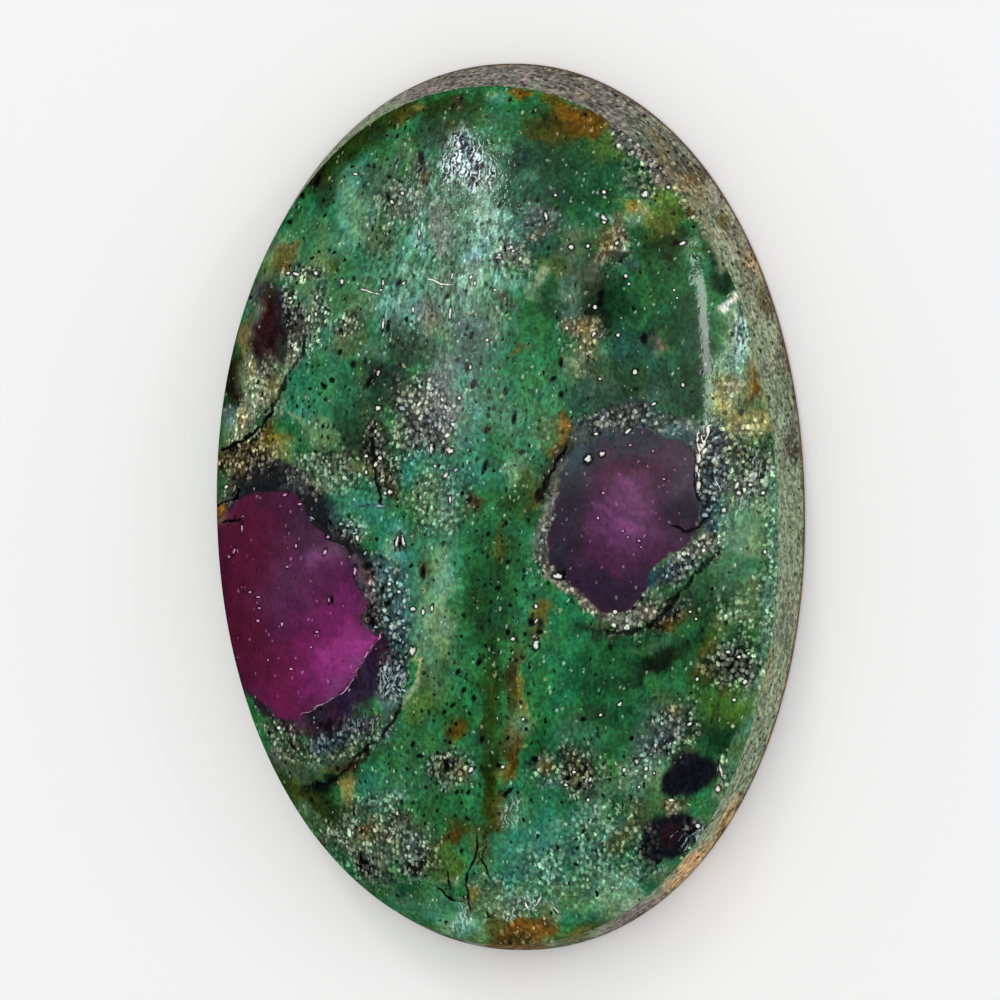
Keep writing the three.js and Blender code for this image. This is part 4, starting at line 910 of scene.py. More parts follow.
# Single small marks by colour: x, y, half length, half width, turn.
MARKS = {
    "white": (
        (588, 459, 5, 4.2, 60), (737, 485, 5, 2.4, 60), (602, 454, 3.4, 3.2, 0), (558, 576, 6, 3.6, -10),
        (628, 431, 5, 2, 40), (596, 434, 4, 1.8, 10), (724, 510, 3.4, 3.4, 0), (615, 612, 2.6, 2.6, 0),
        (690, 612, 1.8, 1.8, 0), (696, 619, 2.2, 1.8, 0), (412, 651, 6, 3.6, 70), (380, 458, 3.4, 2.6, 90),
        (366, 456, 2.6, 2, 0), (366, 472, 3, 1.8, 90), (399, 592, 2.4, 2, 0), (226, 487, 2.6, 2.4, 0),
        (450, 451, 4, 3, 20), (446, 475, 5, 2, 55), (431, 449, 7, 1.6, 88), (378, 408, 3.5, 3, 0),
        (459, 398, 2.5, 2.5, 0), (536, 645, 6, 3.5, 80), (513, 639, 3, 2.4, 0), (536, 606, 2.5, 2.5, 0),
        (356, 174, 3, 1.6, 0), (397, 541, 9, 1.8, 78), (403, 541, 8, 2, -80), (385, 493, 2.4, 2.4, 0),
        (390, 492, 3, 3, 0), (357, 538, 4, 2.4, 90), (389, 584, 3, 2.6, 0), (413, 609, 3.4, 2.6, 0),
        (419, 233, 6, 1.6, 88), (499, 255, 2.2, 2.6, 90), (511, 247, 2.2, 3, 60), (513, 251, 2, 1.6, 0),
        (392, 202, 3.4, 2.2, -60), (402, 193, 2.4, 2.2, 0), (546, 216, 5, 2, -75), (381, 290, 2, 1.6, 0),
        (404, 283, 3, 1.6, 50), (495, 290, 2.2, 1.8, 0), (383, 283, 5, 1.3, 88), (383, 324, 7, 1.5, 85),
        (452, 276, 4, 1.3, 88), (450, 313, 7, 1.5, 85), (413, 310, 4, 1.5, 88), (471, 277, 3, 1.6, 60),
        (475, 283, 3, 1.6, 80), (487, 340, 1.8, 1.8, 0), (555, 195, 1.6, 2.4, 90), (571, 247, 3.2, 3, 0),
        (588, 246, 2.6, 2.6, 0), (626, 276, 2.4, 2.4, 0), (629, 284, 1.8, 1.8, 0), (674, 290, 1.8, 1.8, 0),
        (677, 298, 1.6, 1.6, 0), (683, 243, 4.6, 2.2, 15), (604, 218, 5, 3, -45), (645, 194, 4.6, 4, 30),
        (668, 187, 3, 2.4, 0), (617, 243, 4, 2, 60), (595, 307, 3, 2.6, 0), (594, 334, 3.4, 2, 50),
        (618, 335, 2.4, 2.4, 0), (635, 372, 3.2, 3, 0), (600, 379, 2, 2, 0), (683, 385, 2.4, 2.4, 0),
        (567, 328, 2, 2.6, 0), (604, 222, 3, 2, -30), (309, 318, 5, 2, 80), (316, 314, 2.6, 2, 90),
        (316, 273, 3, 2.6, 0), (296, 274, 4, 2.4, -20), (288, 273, 3, 2, 0), (342, 282, 3.4, 2, 90),
        (290, 298, 2.2, 2, 0), (317, 297, 3.6, 1.6, 70), (435, 466, 2, 2, 0), (372, 381, 5, 1.5, 52),
        (378, 373, 4, 2, 70), (423, 612, 4, 2, 85), (432, 608, 4, 1.6, 85), (536, 621, 3.4, 1.6, 60),
        (503, 767, 2.4, 2.4, 0), (471, 770, 4, 2.6, 50), (523, 719, 2, 2, 0), (601, 715, 2.2, 2, 0),
        (620, 704, 3.4, 2, 50), (590, 780, 3.4, 2, 70), (566, 785, 3, 2, 0), (588, 800, 2.4, 2.4, 0),
        (574, 772, 2.6, 2, 0), (690, 724, 3.4, 2.4, 20), (718, 789, 3.2, 4.4, 0), (721, 771, 9, 1.6, 105),
        (728, 652, 3, 2.6, 0), (739, 657, 3, 2.2, 0), (697, 679, 1.8, 2.6, 0), (734, 700, 2.6, 2.4, 0),
        (671, 800, 5, 1.6, -5), (698, 826, 3, 2.6, 0), (376, 464, 4, 2.4, 60), (450, 500, 5, 1.6, 90),
        (470, 367, 3, 2, 80), (604, 192, 3, 2.2, 0), (637, 762, 2.4, 2.8, 0), (646, 769, 2.8, 2.6, 40),
        (624, 770, 2.4, 3, 0), (639, 787, 1.8, 1.8, 0), (654, 773, 1.6, 2, 0), (279, 728, 2.8, 2.6, 0),
        (654, 404, 3.6, 1.8, 30), (765, 552, 2.6, 2.6, 0), (745, 682, 3.4, 2.4, 40), (739, 493, 3, 3, 0),
        (750, 485, 3.4, 2.6, 0), (763, 493, 3, 2.6, 0),
    ),
    "pink_fleck": (
        (242, 528, 5, 1.3, 88), (234, 551, 4, 1.4, 75), (229, 557, 2, 1.4, 30), (296, 546, 3, 1.6, 88),
        (250, 592, 2.6, 1.6, 10), (258, 597, 3, 1.3, 10), (259, 608, 2.2, 1.8, 0), (258, 621, 2.2, 2, 0),
        (282, 624, 2.6, 1.8, 90), (287, 567, 1.7, 1.5, 0), (317, 632, 2.6, 1.5, 20),
        (311, 647, 1.6, 1.6, 0), (268, 660, 1.6, 1.6, 0), (291, 669, 2.4, 1.6, 0), (325, 552, 4, 2.2, 60),
        (328, 537, 2.6, 2, 0), (300, 504, 3, 1.5, 10), (285, 495, 3, 1.5, 20), (329, 600, 4, 1.2, 90),
        (355, 571, 6, 1.8, 85), (603, 493, 2, 1.8, 0), (598, 518, 1.8, 1.8, 0), (623, 531, 1.9, 1.6, 0),
        (628, 537, 2, 1.4, 0), (639, 541, 2.2, 2, 0), (641, 547, 1.5, 1.5, 0), (653, 451, 2, 1.4, 60),
        (664, 479, 2, 1.6, 0), (630, 445, 2.2, 1.8, 0),
    ),
    "tan": (
        (366, 620, 4, 1.6, 88), (546, 483, 5, 2.4, 85),
    ),
    "frost": (
        (376, 627, 3, 2, 0), (705, 515, 5, 3, 10), (398, 668, 5, 2.4, 60), (312, 518, 4.5, 1.3, -32),
        (402, 408, 4.4, 3.4, -30), (341, 524, 3, 2.2, 0), (350, 522, 3.4, 1.6, 20), (356, 530, 2.4, 2.4, 0),
        (390, 595, 3.6, 3.4, 0), (386, 619, 5, 3.4, -30), (400, 640, 3, 2, 60), (404, 628, 2.6, 2, 0),
        (388, 686, 5, 1.8, 50), (399, 690, 5, 1.6, -40), (456, 470, 3, 2, 0), (365, 553, 3, 2, 60),
    ),
    "ink": (
        (564, 573, 4, 1.6, 80), (372, 620, 6, 4, 90), (383, 588, 5, 2.4, 80), (388, 603, 4, 2.6, 40),
        (400, 544, 6, 1.8, 90), (444, 449, 5, 2, 60), (434, 448, 6, 1.4, 88), (485, 467, 6, 2.2, 72),
        (489, 391, 3, 2, 80), (506, 391, 4, 2, 80), (514, 418, 6, 2, 76), (467, 368, 5, 1.8, 85),
        (474, 384, 4, 2.4, 60), (370, 381, 9, 2.4, 52), (487, 430, 4, 2.4, 40), (423, 572, 6, 2.4, 90),
        (462, 138, 2.6, 2.2, 0), (463, 147, 3, 2, 90), (471, 160, 2, 3, 0), (477, 168, 4, 1.8, 85),
        (472, 179, 2.6, 2.2, 0), (483, 165, 2.6, 1.4, 90), (497, 259, 3.4, 3, 0), (505, 248, 2, 3, 0),
        (388, 197, 4, 1.6, 100), (399, 283, 4, 1.5, 55), (421, 158, 6, 2.6, 88), (422, 170, 3, 2, 0),
        (388, 327, 5, 1.6, 80), (538, 199, 3, 1.6, 70), (676, 243, 3.6, 2, 20), (601, 295, 4, 3, 80),
        (600, 303, 3, 3.4, 0), (644, 338, 3, 5, 0), (561, 362, 4, 2, 90), (553, 379, 3.4, 2, 30),
        (561, 394, 3, 2, 90), (317, 182, 6, 2, 70), (302, 195, 4, 2, 110), (350, 129, 4, 2, 20),
        (290, 222, 2.4, 2, 0), (332, 380, 2.6, 2.4, 0), (324, 386, 3.4, 2, -60), (353, 364, 3, 2.6, 60),
        (340, 352, 3, 1.6, 60), (479, 662, 4, 2, 60), (458, 672, 3, 2, 60), (464, 690, 3, 2, 70),
        (474, 698, 3, 2, 90), (453, 705, 3, 1.6, 40), (444, 712, 2.6, 2, 60), (482, 739, 3, 2, 80),
        (535, 759, 3, 2.4, 0), (583, 719, 2.6, 2, 0), (498, 765, 2, 2, 0), (456, 724, 1.4, 2, 0),
        (464, 735, 1.2, 1.2, 0), (508, 738, 2, 1.2, 60), (531, 622, 3, 4, 0), (540, 632, 3, 2, 0),
        (508, 632, 3, 2, 80), (498, 588, 3, 2.4, 30), (506, 523, 3, 1.6, 90), (488, 534, 2.4, 1.6, 60),
        (508, 562, 2, 2, 0), (510, 605, 2, 1.6, 0), (470, 499, 3, 1.6, 60), (538, 493, 5, 2.4, 60),
        (545, 484, 5, 2, 70), (638, 759, 6, 1.6, 10), (585, 769, 4, 2, 70), (580, 785, 3, 2, 0),
        (568, 777, 2.4, 3, 0), (508, 792, 6, 2, 40), (420, 756, 3, 2, 0), (413, 744, 3, 2, 70),
        (447, 765, 3, 5, 0), (368, 566, 4, 3.4, 0), (332, 600, 4, 1.4, 90),
    ),
}

ROCK_BASE = "green"
RUBY_BASE = "plum"
WALL_BASE = "wall_green"


def linear(colour):
    """A palette colour in linear light, by the sRGB curve."""
    share = np.array(PALETTE[colour]) / 255
    return np.where(share <= 0.04045, share / 12.92, ((share + 0.055) / 1.055) ** 2.4)


def lattice_noise(x, y, size, seed):
    """Smooth random field from -1 to 1, with features of about that size."""
    lattice = np.random.default_rng(seed).uniform(-1, 1, (LATTICE_SIZE, LATTICE_SIZE))
    u, v = x / size, y / size
    column, row = np.floor(u).astype(int), np.floor(v).astype(int)
    s, t = u - column, v - row
    s, t = s * s * (3 - 2 * s), t * t * (3 - 2 * t)

    def at(di, dj):
        return lattice[(row + dj) % LATTICE_SIZE, (column + di) % LATTICE_SIZE]

    return (at(0, 0) * (1 - s) + at(1, 0) * s) * (1 - t) + (at(0, 1) * (1 - s) + at(1, 1) * s) * t


def ragged(x, y, size, depth, seed):
    """The same places, each moved by noise, so that what is drawn there gets an uneven edge."""
    fine = size / FINER_BY
    x_move = lattice_noise(x, y, size, seed) + lattice_noise(x, y, fine, seed + 1) / 2
    y_move = lattice_noise(x, y, size, seed + 2) + lattice_noise(x, y, fine, seed + 3) / 2
    return x + depth * x_move, y + depth * y_move


def turned(x, y, degrees):
    """The offsets, with y down the picture, along and across a direction turned that far from the right."""
    turn = math.radians(degrees)
    return x * math.cos(turn) - y * math.sin(turn), x * math.sin(turn) + y * math.cos(turn)


def oval_distance(x, y, spot):
    """Distance out from the middle of a turned oval, in shares of its size."""
    along, across = turned(x - spot[0], y - spot[1], spot[4])
    return np.hypot(along / spot[2], across / spot[3])


def line_distance(x, y, points):
    """Distance to a line of points, and the side on which the place lies: 1 or -1."""
    least = np.full(len(x), np.inf)
    side = np.ones(len(x))
    for (ax, ay), (bx, by) in zip(points[:-1], points[1:]):
        length_squared = (bx - ax) ** 2 + (by - ay) ** 2
        share = np.clip(((x - ax) * (bx - ax) + (y - ay) * (by - ay)) / length_squared, 0, 1)
        distance = np.hypot(x - ax - share * (bx - ax), y - ay - share * (by - ay))
        turn = np.where((bx - ax) * (y - ay) - (by - ay) * (x - ax) < 0, -1.0, 1.0)
        side = np.where(distance < least, turn, side)
        least = np.minimum(least, distance)
    return least, side


def inside_by(x, y, outline):
    """Distance to an outline in millimetres, positive inside it."""
    closed = outline + outline[:1]
    inside = np.zeros(len(x), bool)
    for (ax, ay), (bx, by) in zip(closed[:-1], closed[1:]):
        crosses = (ay > y) != (by > y)
        meets = ax + (y - ay) * (bx - ax) / (by - ay if by != ay else 1)
        inside ^= crosses & (x < meets)
    distance = line_distance(x, y, closed)[0] / PIXELS_PER_MM
    return np.where(inside, distance, -distance)


def smooth_step(low, high, value):
    """0 below low, 1 above high, smooth in between."""
    share = np.clip((value - low) / (high - low), 0, 1)
    return share * share * (3 - 2 * share)


def crowding(mark, layer):
    """How many marks of a layer lie close to a new one."""
    return sum(math.dist(mark[:2], other[:2]) < MARK_SPACING for other, _ in layer)


def mark_layers():
    """The small marks with their colours, shared out so that those in one layer lie well apart."""
    layers = [[] for _ in range(MARK_LAYERS)]
    for colour, marks in MARKS.items():
        for mark in marks:
            counts = [crowding(mark, layer) for layer in layers]
            layers[counts.index(min(counts))].append((mark, colour))
    return layers


def nearest_mark(x, y, marks):
    """Where each place lies in its nearest small mark, in shares of the mark, and the mark's colour."""
    nearest = np.ones(len(x))
    inside = np.zeros((len(x), 3))
    colours = np.zeros((len(x), 3))
    for (mark_x, mark_y, half_length, half_width, turn), colour in marks:
        along, across = turned(x - mark_x, y - mark_y, turn)
        distance = np.hypot(along / (half_length + MARK_MARGIN), across / (half_width + MARK_MARGIN))
        place = np.column_stack([along / half_length, across / half_width, np.ones(len(x))])
        closer = distance < nearest
        nearest[closer] = distance[closer]
        inside[closer] = place[closer]
        colours[closer] = linear(colour)
    return inside, colours


def nearest_seam(x, y):
    """The nearest fine line to each place: how far to its left in half widths, and its colour."""
    nearest = np.full(len(x), MARK_MARGIN)
    inside = np.zeros((len(x), 3))
    colours = np.zeros((len(x), 3))
    for colour, seams in SEAMS.items():
        for points, half_width in seams:
            distance, side = line_distance(x, y, points)
            place = np.column_stack([side * distance / half_width, np.zeros(len(x)), np.ones(len(x))])
            closer = distance < nearest
            nearest[closer] = distance[closer]
            inside[closer] = place[closer]
            colours[closer] = linear(colour)
    return inside, colours


def paint(colours, x, y, spots, edge=FEATHERED_EDGE):
    """Lays spots of colour over the given ones; each fades out between two distances from its middle."""
    feather = FEATHER_DEPTH * lattice_noise(x, y, FEATHER_SIZE, FEATHER_SEED)
    for spot in spots:
        cover = spot[6] * (1 - smooth_step(*edge, oval_distance(x, y, spot) + feather))
        colours += cover[:, None] * (linear(spot[5]) - colours)
    return colours


def paint_along(colours, x, y, bands):
    """Lays bands of colour over the given ones."""
    for points, half_width, colour, strength in bands:
        cover = strength * (1 - smooth_step(*BAND_EDGE, line_distance(x, y, points)[0] / half_width))
        colours += cover[:, None] * (linear(colour) - colours)
    return colours


def strongest(x, y, spots):
    """The strongest of several soft ovals at each place."""
    most = np.zeros(len(x))
    for spot in spots:
        most = np.maximum(most, spot[5] * (1 - smooth_step(*FEATHERED_EDGE, oval_distance(x, y, spot))))
    return most


# ---------------------------------------------------------------- the stone


def dome_rows():
    """Reach of each row of the dome, from the girdle to the centre."""
    return [1 - (row / DOME_ROWS) ** DOME_CROWDING for row in range(1, DOME_ROWS)]


def stone_rows():
    """Rows of the mesh as (reach, height, part), from the centre of the back to the top of the dome."""
    rows = [((row + 1) / (BACK_ROWS + 1), 0.0, "back") for row in range(BACK_ROWS)]
    rows += [(1.0, 0.0, "back"), (1.0, BACK_BEVEL, "wall")]
    for row in range(WALL_ROWS):
        share = (row + 1) / WALL_ROWS
        rows.append((1.0, BACK_BEVEL + share * (WALL_HEIGHT - EDGE_ROUNDING - BACK_BEVEL), "wall"))
    rows.append((1.0, WALL_HEIGHT, "dome"))
    rows += [(reach, float(dome_height(reach)), "dome") for reach in dome_rows()]
    return rows


def stone_points():
    """Points of the whole surface, with each one's reach and part."""
    angle = np.linspace(0, 2 * math.pi, STEPS_ROUND, endpoint=False)
    x, y, z, reach, part = [], [], [], [], []
    for row_reach, height, name in stone_rows():
        rim_x, rim_y = wall_point(angle, min(height, WALL_HEIGHT))
        x.append(row_reach * rim_x)
        y.append(row_reach * rim_y)
        z.append(np.full(STEPS_ROUND, height))
        reach.append(np.full(STEPS_ROUND, row_reach))
        part += [name] * STEPS_ROUND
    x, y, z, reach = (np.concatenate(values) for values in (x, y, z, reach))
    x, y = np.append(x, (0, 0)), np.append(y, (0, 0))
    z, reach = np.append(z, (0, THICKNESS)), np.append(reach, (0, 0))
    return x, y, z, reach, np.array(part + ["back", "dome"])


def stone_faces(rows):
    """Quads between the rows, and a fan of triangles at each end."""
    here = np.arange(STEPS_ROUND)
    after = np.roll(here, -1)
    quads = [
        np.stack([low + here, low + after, low + STEPS_ROUND + after, low + STEPS_ROUND + here], axis=1)
        for low in range(0, (rows - 1) * STEPS_ROUND, STEPS_ROUND)
    ]
    back_centre, crown = rows * STEPS_ROUND, rows * STEPS_ROUND + 1
    top = (rows - 1) * STEPS_ROUND
    fans = [(back_centre, int(b), int(a)) for a, b in zip(here, after)]
    fans += [(crown, int(top + a), int(top + b)) for a, b in zip(here, after)]
    return [tuple(map(int, quad)) for quad in np.concatenate(quads)] + fans


def crack_depth(pixel_x, pixel_y):
    """How far inside one of the cracks each place lies, in millimetres, negative outside."""
    ragged_x, ragged_y = ragged(pixel_x, pixel_y, *CRACK_NOISE)
    most = np.full(len(pixel_x), FAR_OUTSIDE)
    for points, half_width in CRACKS:
        distance = line_distance(ragged_x, ragged_y, points)[0] / PIXELS_PER_MM
        most = np.maximum(most, half_width - distance)
    return most


def lower_dome(x, y, z, reach, on_dome, crack):
    """The heights, with the dome lowered by its polishing waves, cracks and pits."""
    hollow = CRACK_DEPTH * smooth_step(*CRACK_WALL, crack)
    for pit_x, pit_y, radius, depth in PITS:
        hollow = np.maximum(hollow, depth * np.exp(-((x - pit_x) ** 2 + (y - pit_y) ** 2) / radius**2))
    fade = 1 - reach**FADE_POWER
    return z - np.where(on_dome, fade * (WAVE_DEPTH * waves_at(x, y) + hollow), 0)


def painted_rock(x, y, grain_x, grain_y, on_wall):
    """The rock's colour at each place, with the wall's own colours on the wall."""
    rock = np.tile(linear(ROCK_BASE), (len(x), 1))
    for spots in (FIELDS, UPPER_LEFT, UPPER_RIGHT, MIDDLE_LEFT, MIDDLE_RIGHT, LOWER_LEFT, LOWER_RIGHT):
        rock = paint(rock, x, y, spots)
    rock = paint_along(rock, x, y, STREAKS)
    rock = paint(rock, x, y, HAZE, SOFT_EDGE)
    rock = paint(rock, grain_x, grain_y, CRISP_SPOTS, GRAIN_EDGE)
    wall = paint(np.tile(linear(WALL_BASE), (len(x), 1)), x, y, WALL_SPOTS)
    return np.where(on_wall[:, None], wall, rock)


def paint_stone(x, y, z, part, crack):
    """Every painted value of the surface, by name."""
    pixel_x, pixel_y = picture_place(x, y, z)
    near_x, near_y = ragged(pixel_x, pixel_y, *BROAD_NOISE)
    near_x, near_y = ragged(near_x, near_y, *CLOSE_NOISE)
    edge_x, edge_y = ragged(pixel_x, pixel_y, *RUBY_NOISE)
    ruby = paint(np.tile(linear(RUBY_BASE), (len(x), 1)), near_x, near_y, RUBY_TONES, SOFT_EDGE)
    seam, seam_colour = nearest_seam(*ragged(pixel_x, pixel_y, *SEAM_NOISE))
    values = {
        "grind": np.column_stack([np.abs(np.arctan2(y, -x)) * LENGTH / 2, z, y]),
        "rock": painted_rock(near_x, near_y, *ragged(pixel_x, pixel_y, *GRAIN_NOISE), part == "wall"),
        "ruby_tone": paint_along(ruby, near_x, near_y, RUBY_STREAKS),
        "ruby": np.maximum(inside_by(edge_x, edge_y, LEFT_RUBY), inside_by(edge_x, edge_y, RIGHT_RUBY)),
        "speckle": strongest(near_x, near_y, SPECKLED),
        "pepper": strongest(near_x, near_y, PEPPERED),
        "streaks": strongest(near_x, near_y, STREAKS_AND_SHEEN),
        "strokes": strongest(near_x, near_y, STROKES_AND_GLINTS),
        "crack": crack,
        "seam": seam,
        "seam_colour": seam_colour,
    }
    for number, marks in enumerate(mark_layers()):
        values[f"mark{number}"], values[f"mark{number}_colour"] = nearest_mark(pixel_x, pixel_y, marks)
    return values


def store(mesh, name, values):
    """Keeps values on the mesh's points: one number each, a colour or a vector."""
    if values.ndim == 1:
        layer = mesh.attributes.new(name, "FLOAT", "POINT")
        layer.data.foreach_set("value", values.astype(np.float32))
    elif name in ("rock", "ruby_tone") or name.endswith("_colour"):
        layer = mesh.attributes.new(name, "FLOAT_COLOR", "POINT")
        opaque = np.column_stack([values, np.ones(len(values))])
        layer.data.foreach_set("color", opaque.astype(np.float32).ravel())
    else:
        layer = mesh.attributes.new(name, "FLOAT_VECTOR", "POINT")
        layer.data.foreach_set("vector", values.astype(np.float32).ravel())


def share_materials(mesh):
    """The polished material goes on the dome's faces, the ground one on the wall's and the back's."""
    mesh.materials.append(polished_face())
    mesh.materials.append(ground_side())
    polished, ground = 0, 1
    parts = [name for _, _, name in stone_rows()]
    slots = np.full(len(mesh.polygons), ground)
    for row, (low, high) in enumerate(zip(parts[:-1], parts[1:])):
        if low == high == "dome":
            slots[row * STEPS_ROUND : (row + 1) * STEPS_ROUND] = polished
    slots[len(parts) * STEPS_ROUND :] = polished
    mesh.polygons.foreach_set("material_index", slots)


def make_stone():
    """The stone, painted and in place of the solid."""
    x, y, z, reach, part = stone_points()
    crack = crack_depth(*picture_place(x, y, z))
    z = lower_dome(x, y, z, reach, part == "dome", crack)
    mesh = bpy.data.meshes.new("stone")
    places = np.column_stack([x, y, z]) * MM
    mesh.from_pydata(places.tolist(), [], stone_faces(len(stone_rows())))
    for name, values in paint_stone(x, y, z, part, crack).items():
        store(mesh, name, values)
    share_materials(mesh)
    mesh.shade_smooth()
    mesh.update()
    stone = bpy.data.objects.new("stone", mesh)
    bpy.context.scene.collection.objects.link(stone)
    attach(stone, "root")
    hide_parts("cabochon")


# ---------------------------------------------------------------- materials

# Grains of each pattern to a millimetre, across and along the stone.
CLOUDS = (2.6, 1.4)
TINTS = (1.5, 1.0)
FINE_GRAIN = (8.5, 6.0)
STREAK_GRAIN = (7.0, 2.4)
STREAK_PATCHES = (0.9, 0.5)
STROKES = (1.7, 1.25)
STROKE_DASHES = (4.5, 2.2)
PEBBLES = (7.0, 5.8)
PEBBLE_CLUMPS = (2.4, 1.8)
PALE_DOTS = (3.4, 3.0)
FLECKS = (7.5, 5.0)
FLECK_TRAILS = (1.6, 0.35)
BLACK_SPECKS = (4.6, 3.4)
RUBY_RAGGED = (5.0, 5.0)
CRACK_RAGGED = (7.0, 7.0)
SEAM_RAGGED = (5.0, 5.0)
MARK_RAGGED = (12.0, 12.0)
RUBY_CLOUDS = (1.6, 1.6)
RUBY_FLECKS = (7.0, 4.5)
RUBY_SPECKS = (5.0, 3.5)
WALL_GRIT = (6.0, 6.0)
WALL_STAINS = (1.3, 0.9)
WALL_RUST = (0.5, 0.36)
# The same round the side wall, up it and across it, for the patterns that follow its grinding.
GRIND_LINES = (1.6, 7.0, 1.0)
GRIND_BLACK = (4.0, 5.0, 0.0)
GRIND_WHITE = (4.4, 6.0, 0.0)

# The part of a noise's range over which each pattern sets in.
TINT_SPAN = (0.3, 0.7)
GRAIN_SPAN = (0.36, 0.66)
STREAK_SPAN = (0.4, 0.66)
PATCH_SPAN = (0.35, 0.65)
TRAIL_SPAN = (0.45, 0.65)
DASH_SPAN = (0.4, 0.52)
BLACK_STROKE_SPAN = (0.42, 0.12)
WHITE_STROKE_SPAN = (0.6, 0.85)
STAIN_SPAN = (0.5, 0.68)
RUST_SPAN = (0.58, 0.7)
# Where each shape sets in and is full, from its outer edge inwards: specks, pebbles, marks and the painted
# shadow rings of marks in shares of their size, the rubies, the cracks and the painted shade low on the wall
# in millimetres.
SPECK_EDGE = (1.0, 0.5)
PEBBLE_EDGE = (1.0, 0.45)
MARK_EDGE = (1.0, 0.5)
RIM_SHADOW_EDGE = (1.75, 1.1)
RUBY_EDGE = (-0.03, 0.05)
CRACK_EDGE = (-0.02, 0.03)
FOOT_SHADE_EDGE = (0.3, 0.14)
# Brightness of the rock at which pale dots set in, so that they keep off the black grains.
LIT_ROCK = (0.02, 0.04)

# Each amount where the value that it follows is 0, and where it is 1.
GRAIN_AMOUNT = (0.31, 0.61)
FLECK_AMOUNT = (0.025, 0.155)
BLACK_AMOUNT = (0.08, 0.38)
WALL_BLACK_AMOUNT = (0.16, 0.51)
STREAK_AMOUNT = (0.25, 0.8)
SPECK_STRENGTH = (0.5, 1.0)
PEBBLE_RADIUS = (0.35, 0.8)
PEBBLE_BRIGHTNESS = (0.75, 3.95)
CLUMP_BRIGHTNESS = (0.6, 1.4)
RUBY_CLOUD_BRIGHTNESS = (0.55, 1.45)
RUBY_GRAIN_BRIGHTNESS = (0.7, 1.3)
RUBY_EDGE_SHIFT = (-0.1, 0.1)
CRACK_EDGE_SHIFT = (-0.04, 0.04)
SEAM_EDGE_SHIFT = (-1.2, 1.8)
MARK_EDGE_SHIFT = (-0.45, 0.75)
RELIEF_AMOUNT = (0.03, 0.33)
FACE_ROUGHNESS = (0.34, 0.44)
# How much speckled ground adds to the flecks, and streaked ground to the relief.
SPECKLE_FLECKS = 0.25
STREAK_RELIEF = 0.5
# Brightness of the dark and the pale parts of a pattern.
GRAIN_SHADES = (0.25, 1.7)
STREAK_SHADES = (0.45, 1.7)
PEBBLE_GAPS = 0.28
FLECK_GAIN = 1.5
# The smallest speck, in shares of the largest.
LEAST_SPECK = 0.3
# Noise that makes specks and pebbles uneven: its scale, and its depth in each.
WARP_SCALE = 1.4
SPECK_WARP = 0.8
PEBBLE_WARP = 0.9
# A whole face knows of a mark where the third part of the mark's layer is above this.
KNOWN_ABOVE = 0.99

# How the polish deepens the painted colours: contrast, brightness and tint.
POLISH_CONTRAST = 1.28
POLISH_GAIN = 1.46
POLISH_TINT = (1.06, 0.965, 0.98, 1.0)
# How vivid the rock is, and the two tints between which it drifts.
SATURATION = 1.13
BLUE_TINT = (0.9, 1.0, 1.12, 1.0)
OLIVE_TINT = (1.15, 1.0, 0.86, 1.0)

# Depth of the fine relief in metres.
FACE_RELIEF = 0.00005
WALL_RELIEF = 0.00004


